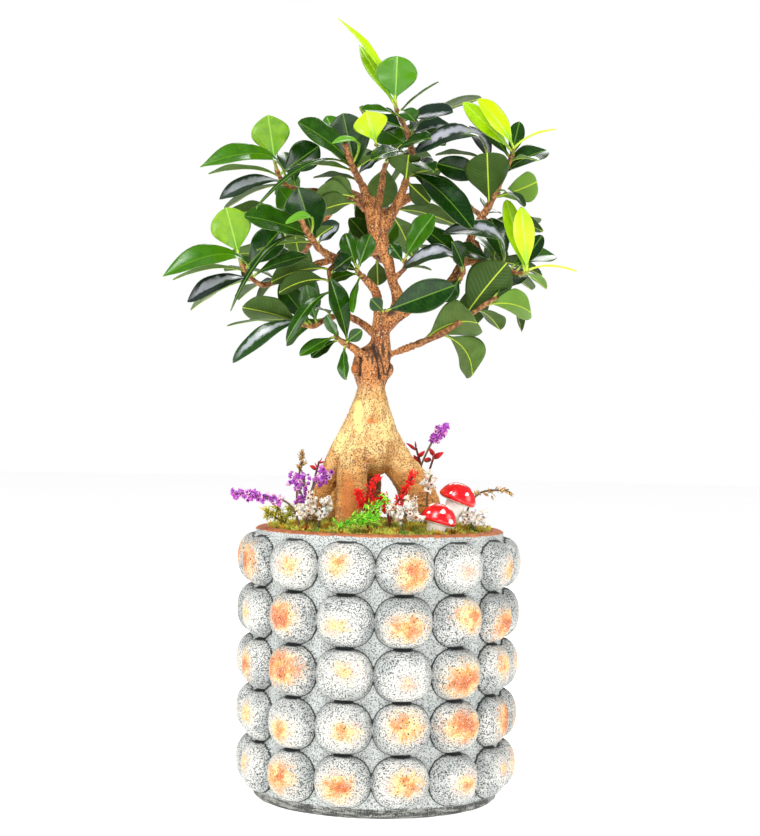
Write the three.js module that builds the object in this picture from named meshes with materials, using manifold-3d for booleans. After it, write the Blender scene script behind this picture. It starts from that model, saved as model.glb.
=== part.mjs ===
// A ficus ginseng bonsai, built together with its round pot of raised bubbles.
// Millimetres, +Z up. The origin is the middle of the pot's flat foot, and the front is -Y.

import * as THREE from 'three';
import { mergeVertices } from 'three/addons/utils/BufferGeometryUtils.js';
import Module from 'manifold-3d';

const wasm = await Module();
wasm.setup();

// Driving dimensions of the pot
const POT_HEIGHT = 160;
const FOOT_RADIUS = 70;
const BODY_RADIUS_LOW = 72.5;
const BODY_RADIUS_HIGH = 74;
const BASE_BAND = 6;
const LIP_BAND = 4;
const LIP_BEVEL = 1.5;
const FOOT_BEVEL = 1.2;
const LIP_RADIUS = 73.5;
const MOUTH_RADIUS = 66.5;
const FLOOR_HEIGHT = 8;
const FLOOR_RADIUS = 62;

// The raised bubbles stand in level rows round the body
const BUBBLE_ROWS = 5;
const BUBBLES_ROUND = 14;
const BUBBLE_RISE = 11;
const BUBBLE_SQUARENESS = 2.6;
const BUBBLE_STEEPNESS = 0.4;
const FIRST_GROOVE = THREE.MathUtils.degToRad(-1.5);
const BUBBLE_STATIONS_ROUND = [-1, -0.72, 0, 0.72];
const BUBBLE_STATIONS_UP = [-1, -0.55, 0.55];

// What fills the pot
const SOIL_TOP = 149;
const MOSS_EDGE_HEIGHT = 159;
const MOSS_CROWN = 4;
const MOSS_CLUMP = 1.5;
const MOSS_RINGS = [0.94, 0.74, 0.48, 0.24];
const MOSS_SHOULDER = 3;
const FILL_CLEARANCE = 0.7;
const FILL_SEGMENTS = 24;

// Gaps and sizes shared by everything that grows
const SEAT = 0.3;
const RIB_THICKNESS = 1.5;
const PETIOLE_HALF_WIDTH = 0.85;
const PETIOLE_LENGTH = 2.5;
const LEAF_FOLD = THREE.MathUtils.degToRad(14);
const BOW_SKEW = 0.75;
const TRUNK_SIDES = 7;
const BRANCH_SIDES = 4;
const TWIG_SIDES = 4;
const GOLDEN_ANGLE = THREE.MathUtils.degToRad(137.5);

// Where the plant is looked at from. A place on it is written as it is seen on the upright
// plane through the pot's middle, with its depth behind that plane as a third number.
const EYE = new THREE.Vector3(-1.1, -1128, 225.6);

function onSight([x, z, depth]) {
  const scale = (depth - EYE.y) / -EYE.y;
  return new THREE.Vector3(EYE.x + (x - EYE.x) * scale, depth, EYE.z + (z - EYE.z) * scale);
}

// Moves a point along its own line of sight, so that it gets deeper by the given amount
function deeper(point, amount) {
  const scale = (point.y + amount - EYE.y) / (point.y - EYE.y);
  return point.clone().sub(EYE).multiplyScalar(scale).add(EYE);
}

// Unit vectors for the side that the upper face of a leaf looks to
const SIDES = {
  U: new THREE.Vector3(0, 0, 1),
  D: new THREE.Vector3(0, 0, -1),
  F: new THREE.Vector3(0, -1, 0),
  B: new THREE.Vector3(0, 1, 0),
  L: new THREE.Vector3(-1, 0, 0),
  R: new THREE.Vector3(1, 0, 0),
};

function facing(letters) {
  const sum = new THREE.Vector3();
  for (const letter of letters) sum.add(SIDES[letter]);
  return sum.normalize();
}

// The woody limbs: each station is x, z, depth, radius
const ROOTS = {
  bulb: [[-6.5, 246, 0, 7.6], [-7, 229, 1, 12.8], [-7.5, 213, 1, 18.4], [-7, 203, 1, 20], [-5, 192, 3, 8]],
  left_leg: [[-15, 222, 0, 7], [-21, 209, -2, 8], [-27.5, 196, -3, 7.4], [-36, 180, -4, 6],
    [-41.5, 164, -5, 5], [-45, 146, -6, 3.6]],
  front_leg: [[-12, 214, -6, 8], [-15, 203, -13, 9], [-17, 190, -18, 9], [-18, 178, -22, 8.8],
    [-19.5, 166, -25, 7.4], [-22, 154, -27, 5.4], [-23, 142, -28, 4]],
  right_leg: [[1, 218, 1, 8], [9, 201, -2, 9.2], [17, 190, -4, 10.2], [24.5, 180, -5, 9.6],
    [30, 167, -6, 7.8], [34, 146, -7, 5]],
  back_left_leg: [[-12, 215, 8, 8], [-17, 202, 17, 8], [-22, 188, 24, 7], [-27, 170, 30, 6],
    [-30, 146, 33, 4]],
  back_right_leg: [[3, 214, 9, 8], [9, 202, 18, 8], [15, 188, 26, 7.4], [20, 170, 31, 6.2],
    [23, 146, 34, 4]],
  back_middle_leg: [[-7, 210, 4, 7], [-6, 194, 10, 6.4], [-5.5, 172, 14, 5.6], [-6, 146, 16, 4]],
};

const TRUNK = {
  neck: [[-6.5, 236, 0, 8], [-6.5, 243, 0, 8.3], [-6.5, 250, 0, 10.6], [-6, 256, 0, 12.3],
    [-5.3, 261, 0, 11.2], [-3, 266, 0, 8], [-1.6, 272, 0, 5.8], [-2, 280, 0, 5.3], [-1.6, 287, 0, 4.4]],
  left_burl: [[-12, 254, -4, 5.5], [-15.5, 254.5, -6, 4.4], [-18, 255, -7.5, 2.6]],
  right_burl: [[-1, 253, -4, 6], [2.5, 254.5, -6, 4.6], [5, 257, -6, 2.8]],
  main_stem: [[0, 280, 0, 4.6], [5.5, 287, 1, 4.7], [8.5, 294, 1, 4.3], [7.5, 301, 0, 3.7],
    [4.5, 308, 0, 3.1], [2, 319, 0, 3.7], [-2, 330, 0, 5], [-4.5, 338, 0, 6.2], [-5.5, 344, 0, 6]],
  root_burl: [[-21, 207, -6, 5], [-26, 208, -7, 3.6], [-28.5, 208.5, -7, 2]],
};

const LIMBS = {
  left_fork: [[-3, 283, 0, 3.8], [-3.8, 293, 0, 2.9], [-5, 301, -1, 2.9], [-9, 306, -2, 2.5],
    [-13, 310, -3, 2.1]],
  left_crown: [[-6, 341, 0, 5.4], [-9, 350, 0, 4.2], [-12, 357, 0, 3.2], [-14, 364, -1, 2.5]],
  middle_crown: [[-3, 343, -2, 4], [-6, 351, -4, 3], [-9.5, 358, -2, 2.4]],
  right_crown: [[-1, 341, 0, 4.6], [3.5, 348, 0, 3.2], [7, 355, 0, 2.9], [9.5, 361, 0, 2.7],
    [11, 366, 1, 2.3]],
  right_limb: [[1, 280, 1, 4.4], [8, 287, 2.5, 4.2], [15, 292, 3, 3.9], [25, 298, 4, 3.5],
    [35, 303, 6, 3.1], [42, 311, 8, 3], [47, 322, 8, 2.8], [51, 334, 5, 2.6], [56, 345, 2, 2.4],
    [61, 353, 0, 2.2]],
  right_side_limb: [[46, 319, 8, 2.5], [53, 321, 6, 2.2], [60, 321, 3, 1.9]],
  inner_limb: [[38, 306, 6, 2.4], [43, 308, 1, 2], [45, 310, -3, 1.7]],
  thin_limb: [[-1, 261, 3, 3.4], [6, 264.5, 3, 2.5], [12, 267, 2.5, 2.3], [17, 269, 2, 2.2]],
  left_spur: [[-11, 261, -5, 3.6], [-15.5, 265.5, -8, 2.7], [-20, 268.5, -9, 2.4]],
  low_limb: [[-4, 275, 3, 3], [-13, 282, 9, 2.4], [-23, 287, 9, 2.1]],
  knot_spur: [[-1, 284, -2, 2.4], [-0.5, 286.5, -6, 1.7]],
  stem_spur: [[4, 307, -1, 2.2], [8, 311.5, -4, 1.6]],
  front_spur: [[-11, 350, -2, 2.2], [-14.5, 352, -6, 1.6]],
  left_limb: [[-1, 328, 2, 3.6], [-10, 325, 8, 3], [-20, 322, 6, 2.7], [-29, 321, -2, 2.5],
    [-36, 324, -14, 2.2]],
  left_side_limb: [[-28, 321, -1, 2.4], [-41, 317, 3, 2.2], [-53, 312, 1, 1.9]],
  under_limb: [[-26, 321.5, 1, 2.2], [-30, 317, -6, 1.7]],
  upper_left_limb: [[-9, 351, 2, 2.9], [-20, 356, 9, 2.5], [-32, 360, 9, 2.1]],
  trunk_back_spur: [[0, 320, 2, 2.6], [-3, 321, 14, 1.9]],
  back_left_limb: [[-5, 341, 2, 3.8], [-9, 352, 18, 3], [-22, 360, 32, 2.6], [-36, 358, 42, 2.2],
    [-45, 353, 48, 1.9]],
  back_low_left_limb: [[-24, 360, 34, 2.4], [-35, 346, 44, 2.1], [-45, 330, 50, 1.9]],
  back_right_limb: [[-1, 345, 2, 3.4], [10, 356, 17, 2.8], [24, 362, 30, 2.4], [39, 360, 40, 2.1],
    [49, 354, 46, 1.9]],
  back_low_right_limb: [[35, 361, 38, 2.2], [46, 346, 46, 2], [54, 332, 50, 1.8]],
  back_top_limb: [[-5, 350, 14, 2.6], [-3, 364, 26, 2.3], [-2, 373, 38, 2]],
  back_limb: [[-5, 348, 10, 2.6], [0, 350, 30, 2.2], [2, 350, 46, 1.9]],
};

// Leafy sprays. A twig goes on from the end of the limb or twig named in from, through stations
// of x, z, depth, radius; a side twig starts inside the first one. A leaf is its place on the
// twigs (whole part: which twig, fraction: how far along), its tip's x, z and depth, its width,
// the side its upper face looks to, and how far it bows to that side as a share of its length.
const SPRAYS = [
  {
    name: 'top_shoot', from: 'top_spray', young: true,
    twigs: [[[4, 416, -2, 1.1]]],
    leaves: [[0.8, 5, 443, -10, 25, 'F', 0.04], [0.6, -31, 465, -6, 9, 'FUR', 0.095],
      [0.3, -18, 449, 8, 9, 'F', 0.05]],
  },
  {
    name: 'upper_left_shoot', from: 'upper_left_outer_spray', young: true,
    twigs: [[[-67.5, 379, -12, 1]]],
    leaves: [[0.8, -72, 406, -20, 23, 'F', -0.04]],
  },
  {
    name: 'left_shoot', from: 'left_outer_spray', young: true,
    twigs: [[[-88, 322, -25, 1]]],
    leaves: [[0.8, -96, 350, -32, 24, 'F', -0.04]],
  },
  {
    name: 'centre_shoot', from: 'top_spray:1', young: true,
    twigs: [[[-7, 389.5, -15, 1]]],
    leaves: [[0.8, -13, 410, -20, 21, 'F', 0.04]],
  },
  {
    name: 'upper_right_shoot', from: 'upper_right_spray', young: true,
    twigs: [[[76, 389, -8, 1.1]]],
    leaves: [[0.8, 54, 418, -18, 15, 'FR', 0.08], [0.5, 45, 416, -4, 11, 'F', 0.05],
      [0.7, 101, 401, -8, 4.5, 'U', 0.12]],
  },
  {
    name: 'right_shoot', from: 'right_spray', young: true,
    twigs: [[[86, 315.5, -11, 1.1]]],
    leaves: [[0.8, 81, 354, -20, 13, 'F', 0.05], [0.4, 72, 358, 0, 11, 'F', 0.03],
      [0.7, 115, 316, -12, 5, 'U', 0.12]],
  },
  {
    name: 'upper_left_inner_spray', from: 'left_crown',
    twigs: [[[-17, 369, -9, 2.1], [-20, 375, -20, 2], [-23, 382, -29, 1.9], [-25, 389, -37, 1.7]]],
    leaves: [[0.35, -27, 408, -16, 26, 'F', -0.1], [0.45, -54, 402, -36, 23, 'FU', 0.08],
      [0.6, -33, 390, -40, 8, 'UR', 0.5], [0.45, -6, 383, -30, 10, 'U', 0.05],
      [0.3, -3, 384, -20, 14, 'UF', 0.08], [0.4, -54, 377, -30, 14, 'U', 0.06],
      [0.2, -78, 350, -44, 5, 'UUF', 0.24], [0.3, -37, 406, 0, 17, 'F', 0.05],
      [0.15, -44, 369, -14, 16, 'U', 0.08]],
  },
  {
    name: 'upper_left_outer_spray', from: 'upper_left_limb',
    twigs: [[[-43, 361, 5, 1.8], [-55, 362, 0, 1.6], [-62, 366, -5, 1.4], [-66, 373, -9, 1.3]]],
    leaves: [[0.72, -112, 374, -24, 19, 'UF', 0.27], [0.8, -107, 370, -8, 16, 'U', 0.12],
      [0.7, -100, 355, 0, 17, 'UF', 0.14], [0.6, -97, 349, 14, 13, 'U', 0.1],
      [0.9, -41, 388, -4, 19, 'F', 0.05], [0.35, -62, 352, 12, 15, 'UF', 0.12],
      [0.5, -62, 384, 20, 16, 'U', 0.1]],
  },
  {
    name: 'left_inner_spray', from: 'left_limb',
    twigs: [[[-40, 327, -23, 2.1], [-44, 332, -32, 2], [-48, 338, -40, 1.9], [-51, 344, -46, 1.7]]],
    leaves: [[0.35, -53, 363, -22, 26, 'F', -0.1], [0.45, -85, 345, -46, 24, 'FU', 0.08],
      [0.6, -60, 341, -50, 8, 'UR', 0.5], [0.45, -32, 340, -42, 10, 'U', 0.05],
      [0.3, -28, 342, -30, 15, 'UF', 0.08], [0.4, -77, 325, -42, 14, 'U', 0.06],
      [0.2, -92, 288, -54, 5, 'UUF', 0.3], [0.3, -64, 362, -8, 17, 'F', 0.05]],
  },
  {
    name: 'left_outer_spray', from: 'left_side_limb',
    twigs: [[[-63, 307, -4, 1.8], [-73, 304, -11, 1.6], [-81, 309, -17, 1.4], [-86, 316, -21, 1.3]]],
    leaves: [[0.72, -133, 308, -36, 19, 'UF', 0.27], [0.8, -127, 306, -20, 16, 'U', 0.12],
      [0.65, -118, 293, -12, 17, 'UF', 0.14], [0.6, -116, 288, 4, 13, 'U', 0.1],
      [0.9, -63, 337, -16, 19, 'F', 0.05], [0.7, -46, 322, -24, 13, 'FU', 0.08],
      [0.3, -96, 312, 16, 16, 'U', 0.1], [0.2, -70, 330, 18, 16, 'U', 0.1]],
  },
  {
    name: 'knot_spray', from: 'knot_spur',
    twigs: [[[1, 290, -9, 1.4]]],
    leaves: [[0.9, 42, 306, -26, 19, 'F', 0.08], [0.6, -8, 297, -16, 9, 'F', 0.05]],
  },
  {
    name: 'stem_spray', from: 'stem_spur',
    twigs: [[[12, 316, -6, 1.4], [12, 321, -8, 1.2]]],
    leaves: [[0.95, 29, 348, -18, 17, 'FL', 0.06], [0.45, 28, 315, -10, 8, 'U', 0.1],
      [0.7, 3, 330, 6, 9, 'F', 0.05]],
  },
  {
    name: 'front_spray', from: 'front_spur',
    twigs: [[[-17, 355, -9, 1.4], [-18, 358, -11, 1.2]]],
    leaves: [[0.9, -43, 357, -22, 20, 'UB', 0.12], [0.3, -42, 348, -14, 19, 'UB', 0.12],
      [0.6, -37, 366, -26, 17, 'UB', 0.1]],
  },
  {
    name: 'top_spray', from: 'right_crown',
    twigs: [[[13, 375, 4, 2], [14.5, 386, 5, 1.9], [12, 397, 3, 1.7], [8, 405, 0, 1.5], [5, 411, -1, 1.3]],
      [[14, 383, 5, 1.6], [5, 386, -3, 1.4], [-4, 388, -11, 1.2]]],
    leaves: [[0.75, 39, 410, -14, 18, 'UF', 0.08], [0.85, -16, 410, -16, 12, 'UF', 0.06],
      [0.9, 30, 428, 6, 6, 'U', 0.06], [0.5, 35, 390, -12, 15, 'UF', 0.2],
      [1.5, 26, 394, -20, 16, 'FU', 0.06], [0.02, 13, 384, -10, 24, 'B', 0.05],
      [0.3, -9, 380, -18, 15, 'UF', 0.12], [0.25, 28, 374, -20, 15, 'UF', 0.1],
      [0.15, 33, 376, 4, 12, 'B', 0.05], [0.1, 46, 360, -8, 11, 'UF', 0.1],
      [0.05, 26, 355, -2, 13, 'B', 0.05], [0.65, -8, 406, 10, 16, 'F', 0.05],
      [0.55, 38, 402, 10, 17, 'UF', 0.1], [0.6, 20, 402, 26, 18, 'F', 0.06],
      [0.45, -6, 400, 22, 18, 'F', 0.06], [0.9, 16, 404, -14, 13, 'UF', 0.2],
      [0.12, 52, 340, -16, 20, 'UF', 0.14], [0.55, 56, 419, 10, 12, 'UUB', 0.1]],
  },
  {
    name: 'upper_right_spray', from: 'right_limb',
    twigs: [[[66, 363, -1, 2], [70, 373, -3, 1.8], [75, 384, -5, 1.5]],
      [[66, 364, -1, 1.7], [62, 375, 4, 1.5], [59, 384, 6, 1.3]]],
    leaves: [[0.05, 60, 386, -28, 27, 'B', 0.04], [0.2, 90, 369, -36, 18, 'B', 0.12],
      [1.95, 17, 385, -8, 16, 'UF', 0.34], [0.3, 83, 354, -20, 9, 'U', 0.12],
      [0.9, 91, 382, -20, 11, 'U', 0.1], [0.95, 59, 402, 2, 9, 'F', 0.05],
      [0.9, 79, 405, 6, 10, 'F', 0.05], [1.8, 29, 384, 12, 13, 'U', 0.1],
      [1.3, 30, 379, 2, 15, 'F', 0.06],
      [0.6, 96, 388, 14, 17, 'UF', 0.12], [1.6, 48, 402, 24, 16, 'U', 0.1]],
  },
  {
    name: 'right_spray', from: 'right_side_limb',
    twigs: [[[68, 318, -1, 1.8], [76, 315, -5, 1.5], [83, 314, -9, 1.3]]],
    leaves: [[0.4, 34, 337, -18, 17, 'UFR', 0.42], [0.9, 97, 305, -20, 10, 'U', 0.1],
      [0.8, 94, 337, 2, 10, 'F', 0.05], [0.3, 38, 342, 8, 15, 'U', 0.1],
      [0.15, 42, 328, -8, 15, 'UF', 0.08], [0.5, 63, 347, 10, 15, 'UF', 0.08],
      [0.6, 102, 325, 16, 17, 'UF', 0.12]],
  },
  {
    name: 'inner_right_spray', from: 'inner_limb',
    twigs: [[[47, 314, -7, 1.5], [47, 319, -9, 1.3]]],
    leaves: [[0.6, 40, 332, -20, 14, 'FR', 0.05], [0.3, 11, 315.5, -20, 14, 'UF', 0.42],
      [0.8, 20, 341, -10, 15, 'UF', 0.1], [0.2, 36, 296, -8, 11, 'F', 0.05],
      [0.7, 12, 329, 6, 13, 'U', 0.12]],
  },
  {
    name: 'low_right_spray', from: 'thin_limb',
    twigs: [[[22, 271, 2, 2.1], [35, 277, 0, 1.9], [49, 286.5, -3, 1.7], [60, 294.5, -5, 1.4],
      [67, 299, -6, 1.2]]],
    leaves: [[0.22, 56, 284, -18, 27, 'UBB', 0.3], [0.58, 73, 320, -16, 28, 'BBU', 0.1],
      [0.78, 88, 291, -24, 20, 'UBB', 0.24], [0.38, 54, 253, -12, 26, 'URBB', 0.32],
      [0.95, 84, 316, 14, 16, 'UF', 0.1], [0.7, 70, 280, 14, 16, 'U', 0.14]],
  },
  {
    name: 'left_under_spray', from: 'under_limb',
    twigs: [[[-33, 313, -11, 1.6], [-32, 305, -14, 1.4], [-28, 299, -14, 1.2]]],
    leaves: [[0.3, -68, 306, -34, 17, 'UB', 0.16], [0.6, -63, 300, -28, 17, 'UB', 0.16],
      [0.95, -58, 270, -24, 9, 'UF', 0.24], [0.4, -20, 322, -20, 12, 'FL', 0.04]],
  },
  {
    name: 'low_left_spray', from: 'low_limb',
    twigs: [[[-33, 285, 5, 1.8], [-42, 280, -1, 1.6], [-50, 281, -5, 1.3]]],
    leaves: [[0.95, -85, 290.5, -14, 22, 'UB', 0.06], [0.8, -90, 257, -20, 13, 'UF', 0.2],
      [0.9, -72, 283, 0, 12, 'U', 0.05], [0.6, -47, 305, -6, 13, 'F', 0.04],
      [0.7, -63, 305, 2, 14, 'F', 0.04], [0.85, -94, 279, 4, 10, 'U', 0.08],
      [0.3, -41, 290, -14, 10, 'UF', 0.08], [0.4, -58, 268, 16, 16, 'UF', 0.14]],
  },
  {
    name: 'spur_spray', from: 'left_spur',
    twigs: [[[-24, 270.5, -10, 1.8], [-29, 274, -12, 1.5]]],
    leaves: [[0.2, -33, 309, -22, 16, 'FR', 0.04], [0.7, -43, 261, -14, 11, 'UF', 0.1],
      [0.95, -50, 262, -24, 10, 'FU', 0.06], [0.3, -22, 248, -18, 10, 'FL', 0.06],
      [0.6, -34, 287, -20, 11, 'FL', 0.04], [0.35, -13, 278, -18, 8, 'F', 0.04]],
  },
  {
    name: 'fork_spray', from: 'left_fork',
    twigs: [[[-15.5, 312, -4, 1.7], [-17, 315, -4, 1.4]]],
    leaves: [[0.5, -31, 318, -6, 11, 'UF', 0.1], [0.3, -33, 307, -12, 10, 'UF', 0.1],
      [0.2, -18.5, 288.5, -8, 8.5, 'FL', 0.05], [0.9, -24, 336, 2, 12, 'F', 0.05],
      [0.8, -9, 336, 12, 11, 'F', 0.05]],
  },
  {
    name: 'trunk_back_spray', from: 'trunk_back_spur',
    twigs: [[[-6, 323, 25, 1.7], [-9, 329, 31, 1.4]]],
    leaves: [[0.9, -14, 358, 22, 14, 'F', 0.05], [0.7, -30, 320, 26, 13, 'UF', 0.08],
      [0.5, 6, 343, 24, 13, 'F', 0.05], [0.3, -4, 305, 22, 13, 'B', 0.05],
      [0.6, -22, 345, 30, 15, 'UF', 0.1]],
  },
];

// The sprays of the far side: their leaves follow one rule round the twig
const BACK_SPRAYS = [
  { name: 'back_left_spray', from: 'back_left_limb', turn: 0.4,
    twigs: [[[-52, 348, 55, 1.7], [-58, 343, 61, 1.5], [-63, 338, 66, 1.2]]] },
  { name: 'back_spray', from: 'back_limb', turn: 1.7,
    twigs: [[[3, 349, 55, 1.6], [3, 348, 63, 1.4], [3, 347, 71, 1.2]]] },
  { name: 'back_right_spray', from: 'back_right_limb', turn: 2.9,
    twigs: [[[56, 349, 51, 1.6], [62, 344, 56, 1.4], [67, 340, 60, 1.2]]] },
  { name: 'back_top_spray', from: 'back_top_limb', turn: 0.9,
    twigs: [[[-1, 377, 46, 1.6], [0, 379, 54, 1.4], [0, 380, 62, 1.2]]] },
  { name: 'back_low_left_spray', from: 'back_low_left_limb', turn: 3.4,
    twigs: [[[-51, 320, 54, 1.6], [-57, 312, 57, 1.4], [-62, 305, 59, 1.2]]] },
  { name: 'back_low_right_spray', from: 'back_low_right_limb', turn: 5.1,
    twigs: [[[59, 323, 53, 1.6], [63, 315, 56, 1.4], [66, 309, 59, 1.2]]] },
];
const BACK_LEAVES = 5;
const BACK_LEAF_LENGTH = 40;
const BACK_LEAF_WIDTH = 18;
const BACK_LEAF_BOW = 0.12;
const BACK_LEAF_OPEN = [78, 40];
const BACK_LEAF_SPAN = [0.15, 0.99];

// Dried sprigs stand in the moss. A stem is x, z, depth stations of one thickness. From the share
// of its length named in from, each stem carries count blossoms of the given reach and breadth,
// opened by the given angle in degrees and turned a golden angle apart.
const SPRIG_RADIUS = 0.9;
const SPRIG_SIDES = 3;
const FIRST_BLOSSOM = 0.7;
const BUD_WIDEST = 0.45;
const SPRIGS = [
  { name: 'purple_spray_left', colour: 'purple', from: 0.5, count: 9, reach: 3.4, breadth: 4.4, open: 65,
    stems: [[[-47, 151, -31], [-50, 166, -33], [-58, 175, -35], [-73, 177, -37], [-88, 179, -39]]] },
  { name: 'purple_bunch', colour: 'purple', from: 0.5, count: 4, reach: 3.8, breadth: 5.4, open: 70,
    stems: [[[-43, 151, -26], [-45, 172, -27], [-46, 190, -28]],
      [[-45, 172, -27], [-39, 186, -29], [-33, 192, -30]],
      [[-45, 174, -27], [-52, 189, -26]]] },
  { name: 'white_bunch_left', colour: 'white', from: 0.5, count: 4, reach: 3.4, breadth: 4.6, open: 72,
    stems: [[[-37, 151, -40], [-36, 165, -42], [-31, 176, -43]], [[-36.4, 164, -42], [-42, 177, -42]],
      [[-36.4, 163, -41.7], [-49, 170, -45]]] },
  { name: 'seed_sprig_left', colour: 'seed', from: 0.76, count: 4, reach: 3.8, breadth: 3.2, open: 40,
    stems: [[[-49, 151, -9], [-50, 180, -9], [-47, 203, -9]]] },
  { name: 'red_bud_sprig', colour: 'red', from: 0.8, count: 2, reach: 7, breadth: 4,
    open: 16, pointed: true,
    stems: [[[-42, 151, -14], [-41, 180, -16], [-37, 199, -16]]] },
  { name: 'red_sprig_left', colour: 'red', from: 0.42, count: 5, reach: 7, breadth: 4.2,
    open: 42, pointed: true,
    stems: [[[-7, 151, -45], [-7, 170, -46], [-3, 190, -47]], [[-7, 166, -46], [-13, 180, -47]]] },
  { name: 'red_sprig_middle', colour: 'red', from: 0.4, count: 6, reach: 7, breadth: 4.2,
    open: 42, pointed: true,
    stems: [[[4, 151, -42], [8, 170, -43], [20, 192, -43]], [[6.2, 162, -42.6], [2, 178, -39]]] },
  { name: 'green_frond', colour: 'frond', from: 0.25, count: 8, reach: 10, breadth: 2.8,
    open: 36, pointed: true,
    stems: [[[-27, 151, -57], [-23, 161, -58], [-11, 166, -58], [3, 177, -57]],
      [[-22, 162, -58], [-2, 166, -59]]] },
  { name: 'white_bunch_right', colour: 'white', from: 0.5, count: 4, reach: 3.4, breadth: 4.6, open: 72,
    stems: [[[16, 151, -52], [13, 164, -53], [8, 172, -54]], [[13.2, 163, -53], [18, 176, -53]],
      [[13.2, 163, -53], [22.5, 168, -54]]] },
  { name: 'white_sprig_right', colour: 'white', from: 0.7, count: 4, reach: 3.6, breadth: 4.4, open: 60,
    stems: [[[31, 151, -32], [28, 174, -33], [30, 193, -33]]] },
  { name: 'purple_spray_right', colour: 'purple', from: 0.7, count: 6, reach: 3.6, breadth: 4.2, open: 50,
    stems: [[[20, 151, 13], [21, 186, 11], [30, 211, 5], [38, 221, 1]]] },
  { name: 'red_sprig_right', colour: 'red', from: 0.74, count: 3, reach: 9, breadth: 4.6,
    open: 32, pointed: true,
    stems: [[[29, 151, 17], [27, 184, 15], [21, 208, 11]], [[26.5, 186, 14.6], [32, 204, 14]]] },
  { name: 'seed_sprig_right', colour: 'seed', from: 0.55, count: 5, reach: 3.8, breadth: 3.8, open: 50,
    stems: [[[49, 151, -8], [52, 170, -8], [60, 182, -8], [77, 184, -8]]] },
  { name: 'white_tuft_right', colour: 'white', from: 0.5, count: 3, reach: 3.4, breadth: 4.4, open: 72,
    stems: [[[55, 151, -27], [56, 162, -28], [63, 168, -28]], [[55.8, 161, -28], [52.5, 169, -30]]] },
  { name: 'moss_tuft_left', colour: 'moss', from: 0.4, count: 4, reach: 4, breadth: 4.8, open: 60,
    stems: [[[-57, 151, -16], [-58, 162, -17], [-62, 172, -18]], [[-57.6, 160, -17], [-53, 171, -17]],
      [[-58, 162, -17], [-68, 168, -19]]] },
];

// Toadstool picks: where the middle of the cap's underside is, how far it tips to the right in
// degrees, the cap's radius and how long the stalk is. The cap's outline is its share of the radius
// and its height.
const TOADSTOOLS = [
  { name: 'front_toadstool', place: [34.5, 163, -47], tip: 14, radius: 10.6, stalk: 15 },
  { name: 'back_toadstool', place: [45.5, 176, -27], tip: 21, radius: 11, stalk: 27 },
];
const STALK_RADIUS = 5;
const STALK_TOP = 1.15;
const STALK_FOOT = 0.9;
const STALK_SIDES = 10;
const CAP_SIDES = 12;
const CAP_PROFILE = [[0, 0], [0.7, 0], [1, 1.5], [0.97, 4.2], [0.74, 8.2], [0.4, 10.8], [0, 11.6]];

// How much the tip of a leaf may lean in depth to pass its neighbours, nearest choice first
const LEANS = [0, -5, 5, -10, 10, -15, 15, -20, 20, -26, 26, -32, 32];
const LEAF_CLEARANCE = 0.5;

// A direction that no limb or stem runs along, to start their rings of points from
const SLANT = new THREE.Vector3(0.31, 0.9, 0.29);

// Colours
const COLOURS = {
  pot: 0xa9b4b6, soil: 0x4a3524, moss: 0x8a8a2a, bark: 0xc08a52, leaf: 0x2f5a1c, young: 0xa8d40c,
  cap: 0xd40a12, stalk: 0xf2ecdc, purple: 0x8d4fc0, white: 0xf0e6dc, red: 0xc01014, frond: 0x7fd62a,
  seed: 0xb08a4c,
};

function material(colour, roughness) {
  return new THREE.MeshStandardMaterial({ color: COLOURS[colour], roughness, metalness: 0 });
}

// A closed solid from a geometry whose shared points are merged
function solid(geometry) {
  geometry.deleteAttribute('normal');
  geometry.deleteAttribute('uv');
  const merged = mergeVertices(geometry, 1e-4);
  return new wasm.Manifold(new wasm.Mesh({
    numProp: 3,
    vertProperties: new Float32Array(merged.attributes.position.array),
    triVerts: new Uint32Array(merged.index.array),
  }));
}

// Keeps the one body that holds most of the volume, without sealed hollows or loose scraps
function wholeBody(shape) {
  const bodies = shape.decompose();
  return bodies.reduce((best, body) => (body.volume() > best.volume() ? body : best));
}

function join(shapes) {
  return shapes.reduce((sum, shape) => sum.add(shape));
}

const group = new THREE.Group();

function addNode(name, shape, colour, roughness) {
  const { vertProperties, triVerts } = shape.getMesh();
  const geometry = new THREE.BufferGeometry();
  geometry.setAttribute('position', new THREE.BufferAttribute(new Float32Array(vertProperties), 3));
  geometry.setIndex(new THREE.BufferAttribute(new Uint32Array(triVerts), 1));
  geometry.computeVertexNormals();
  const mesh = new THREE.Mesh(geometry, material(colour, roughness));
  mesh.name = name;
  group.add(mesh);
}

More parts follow.
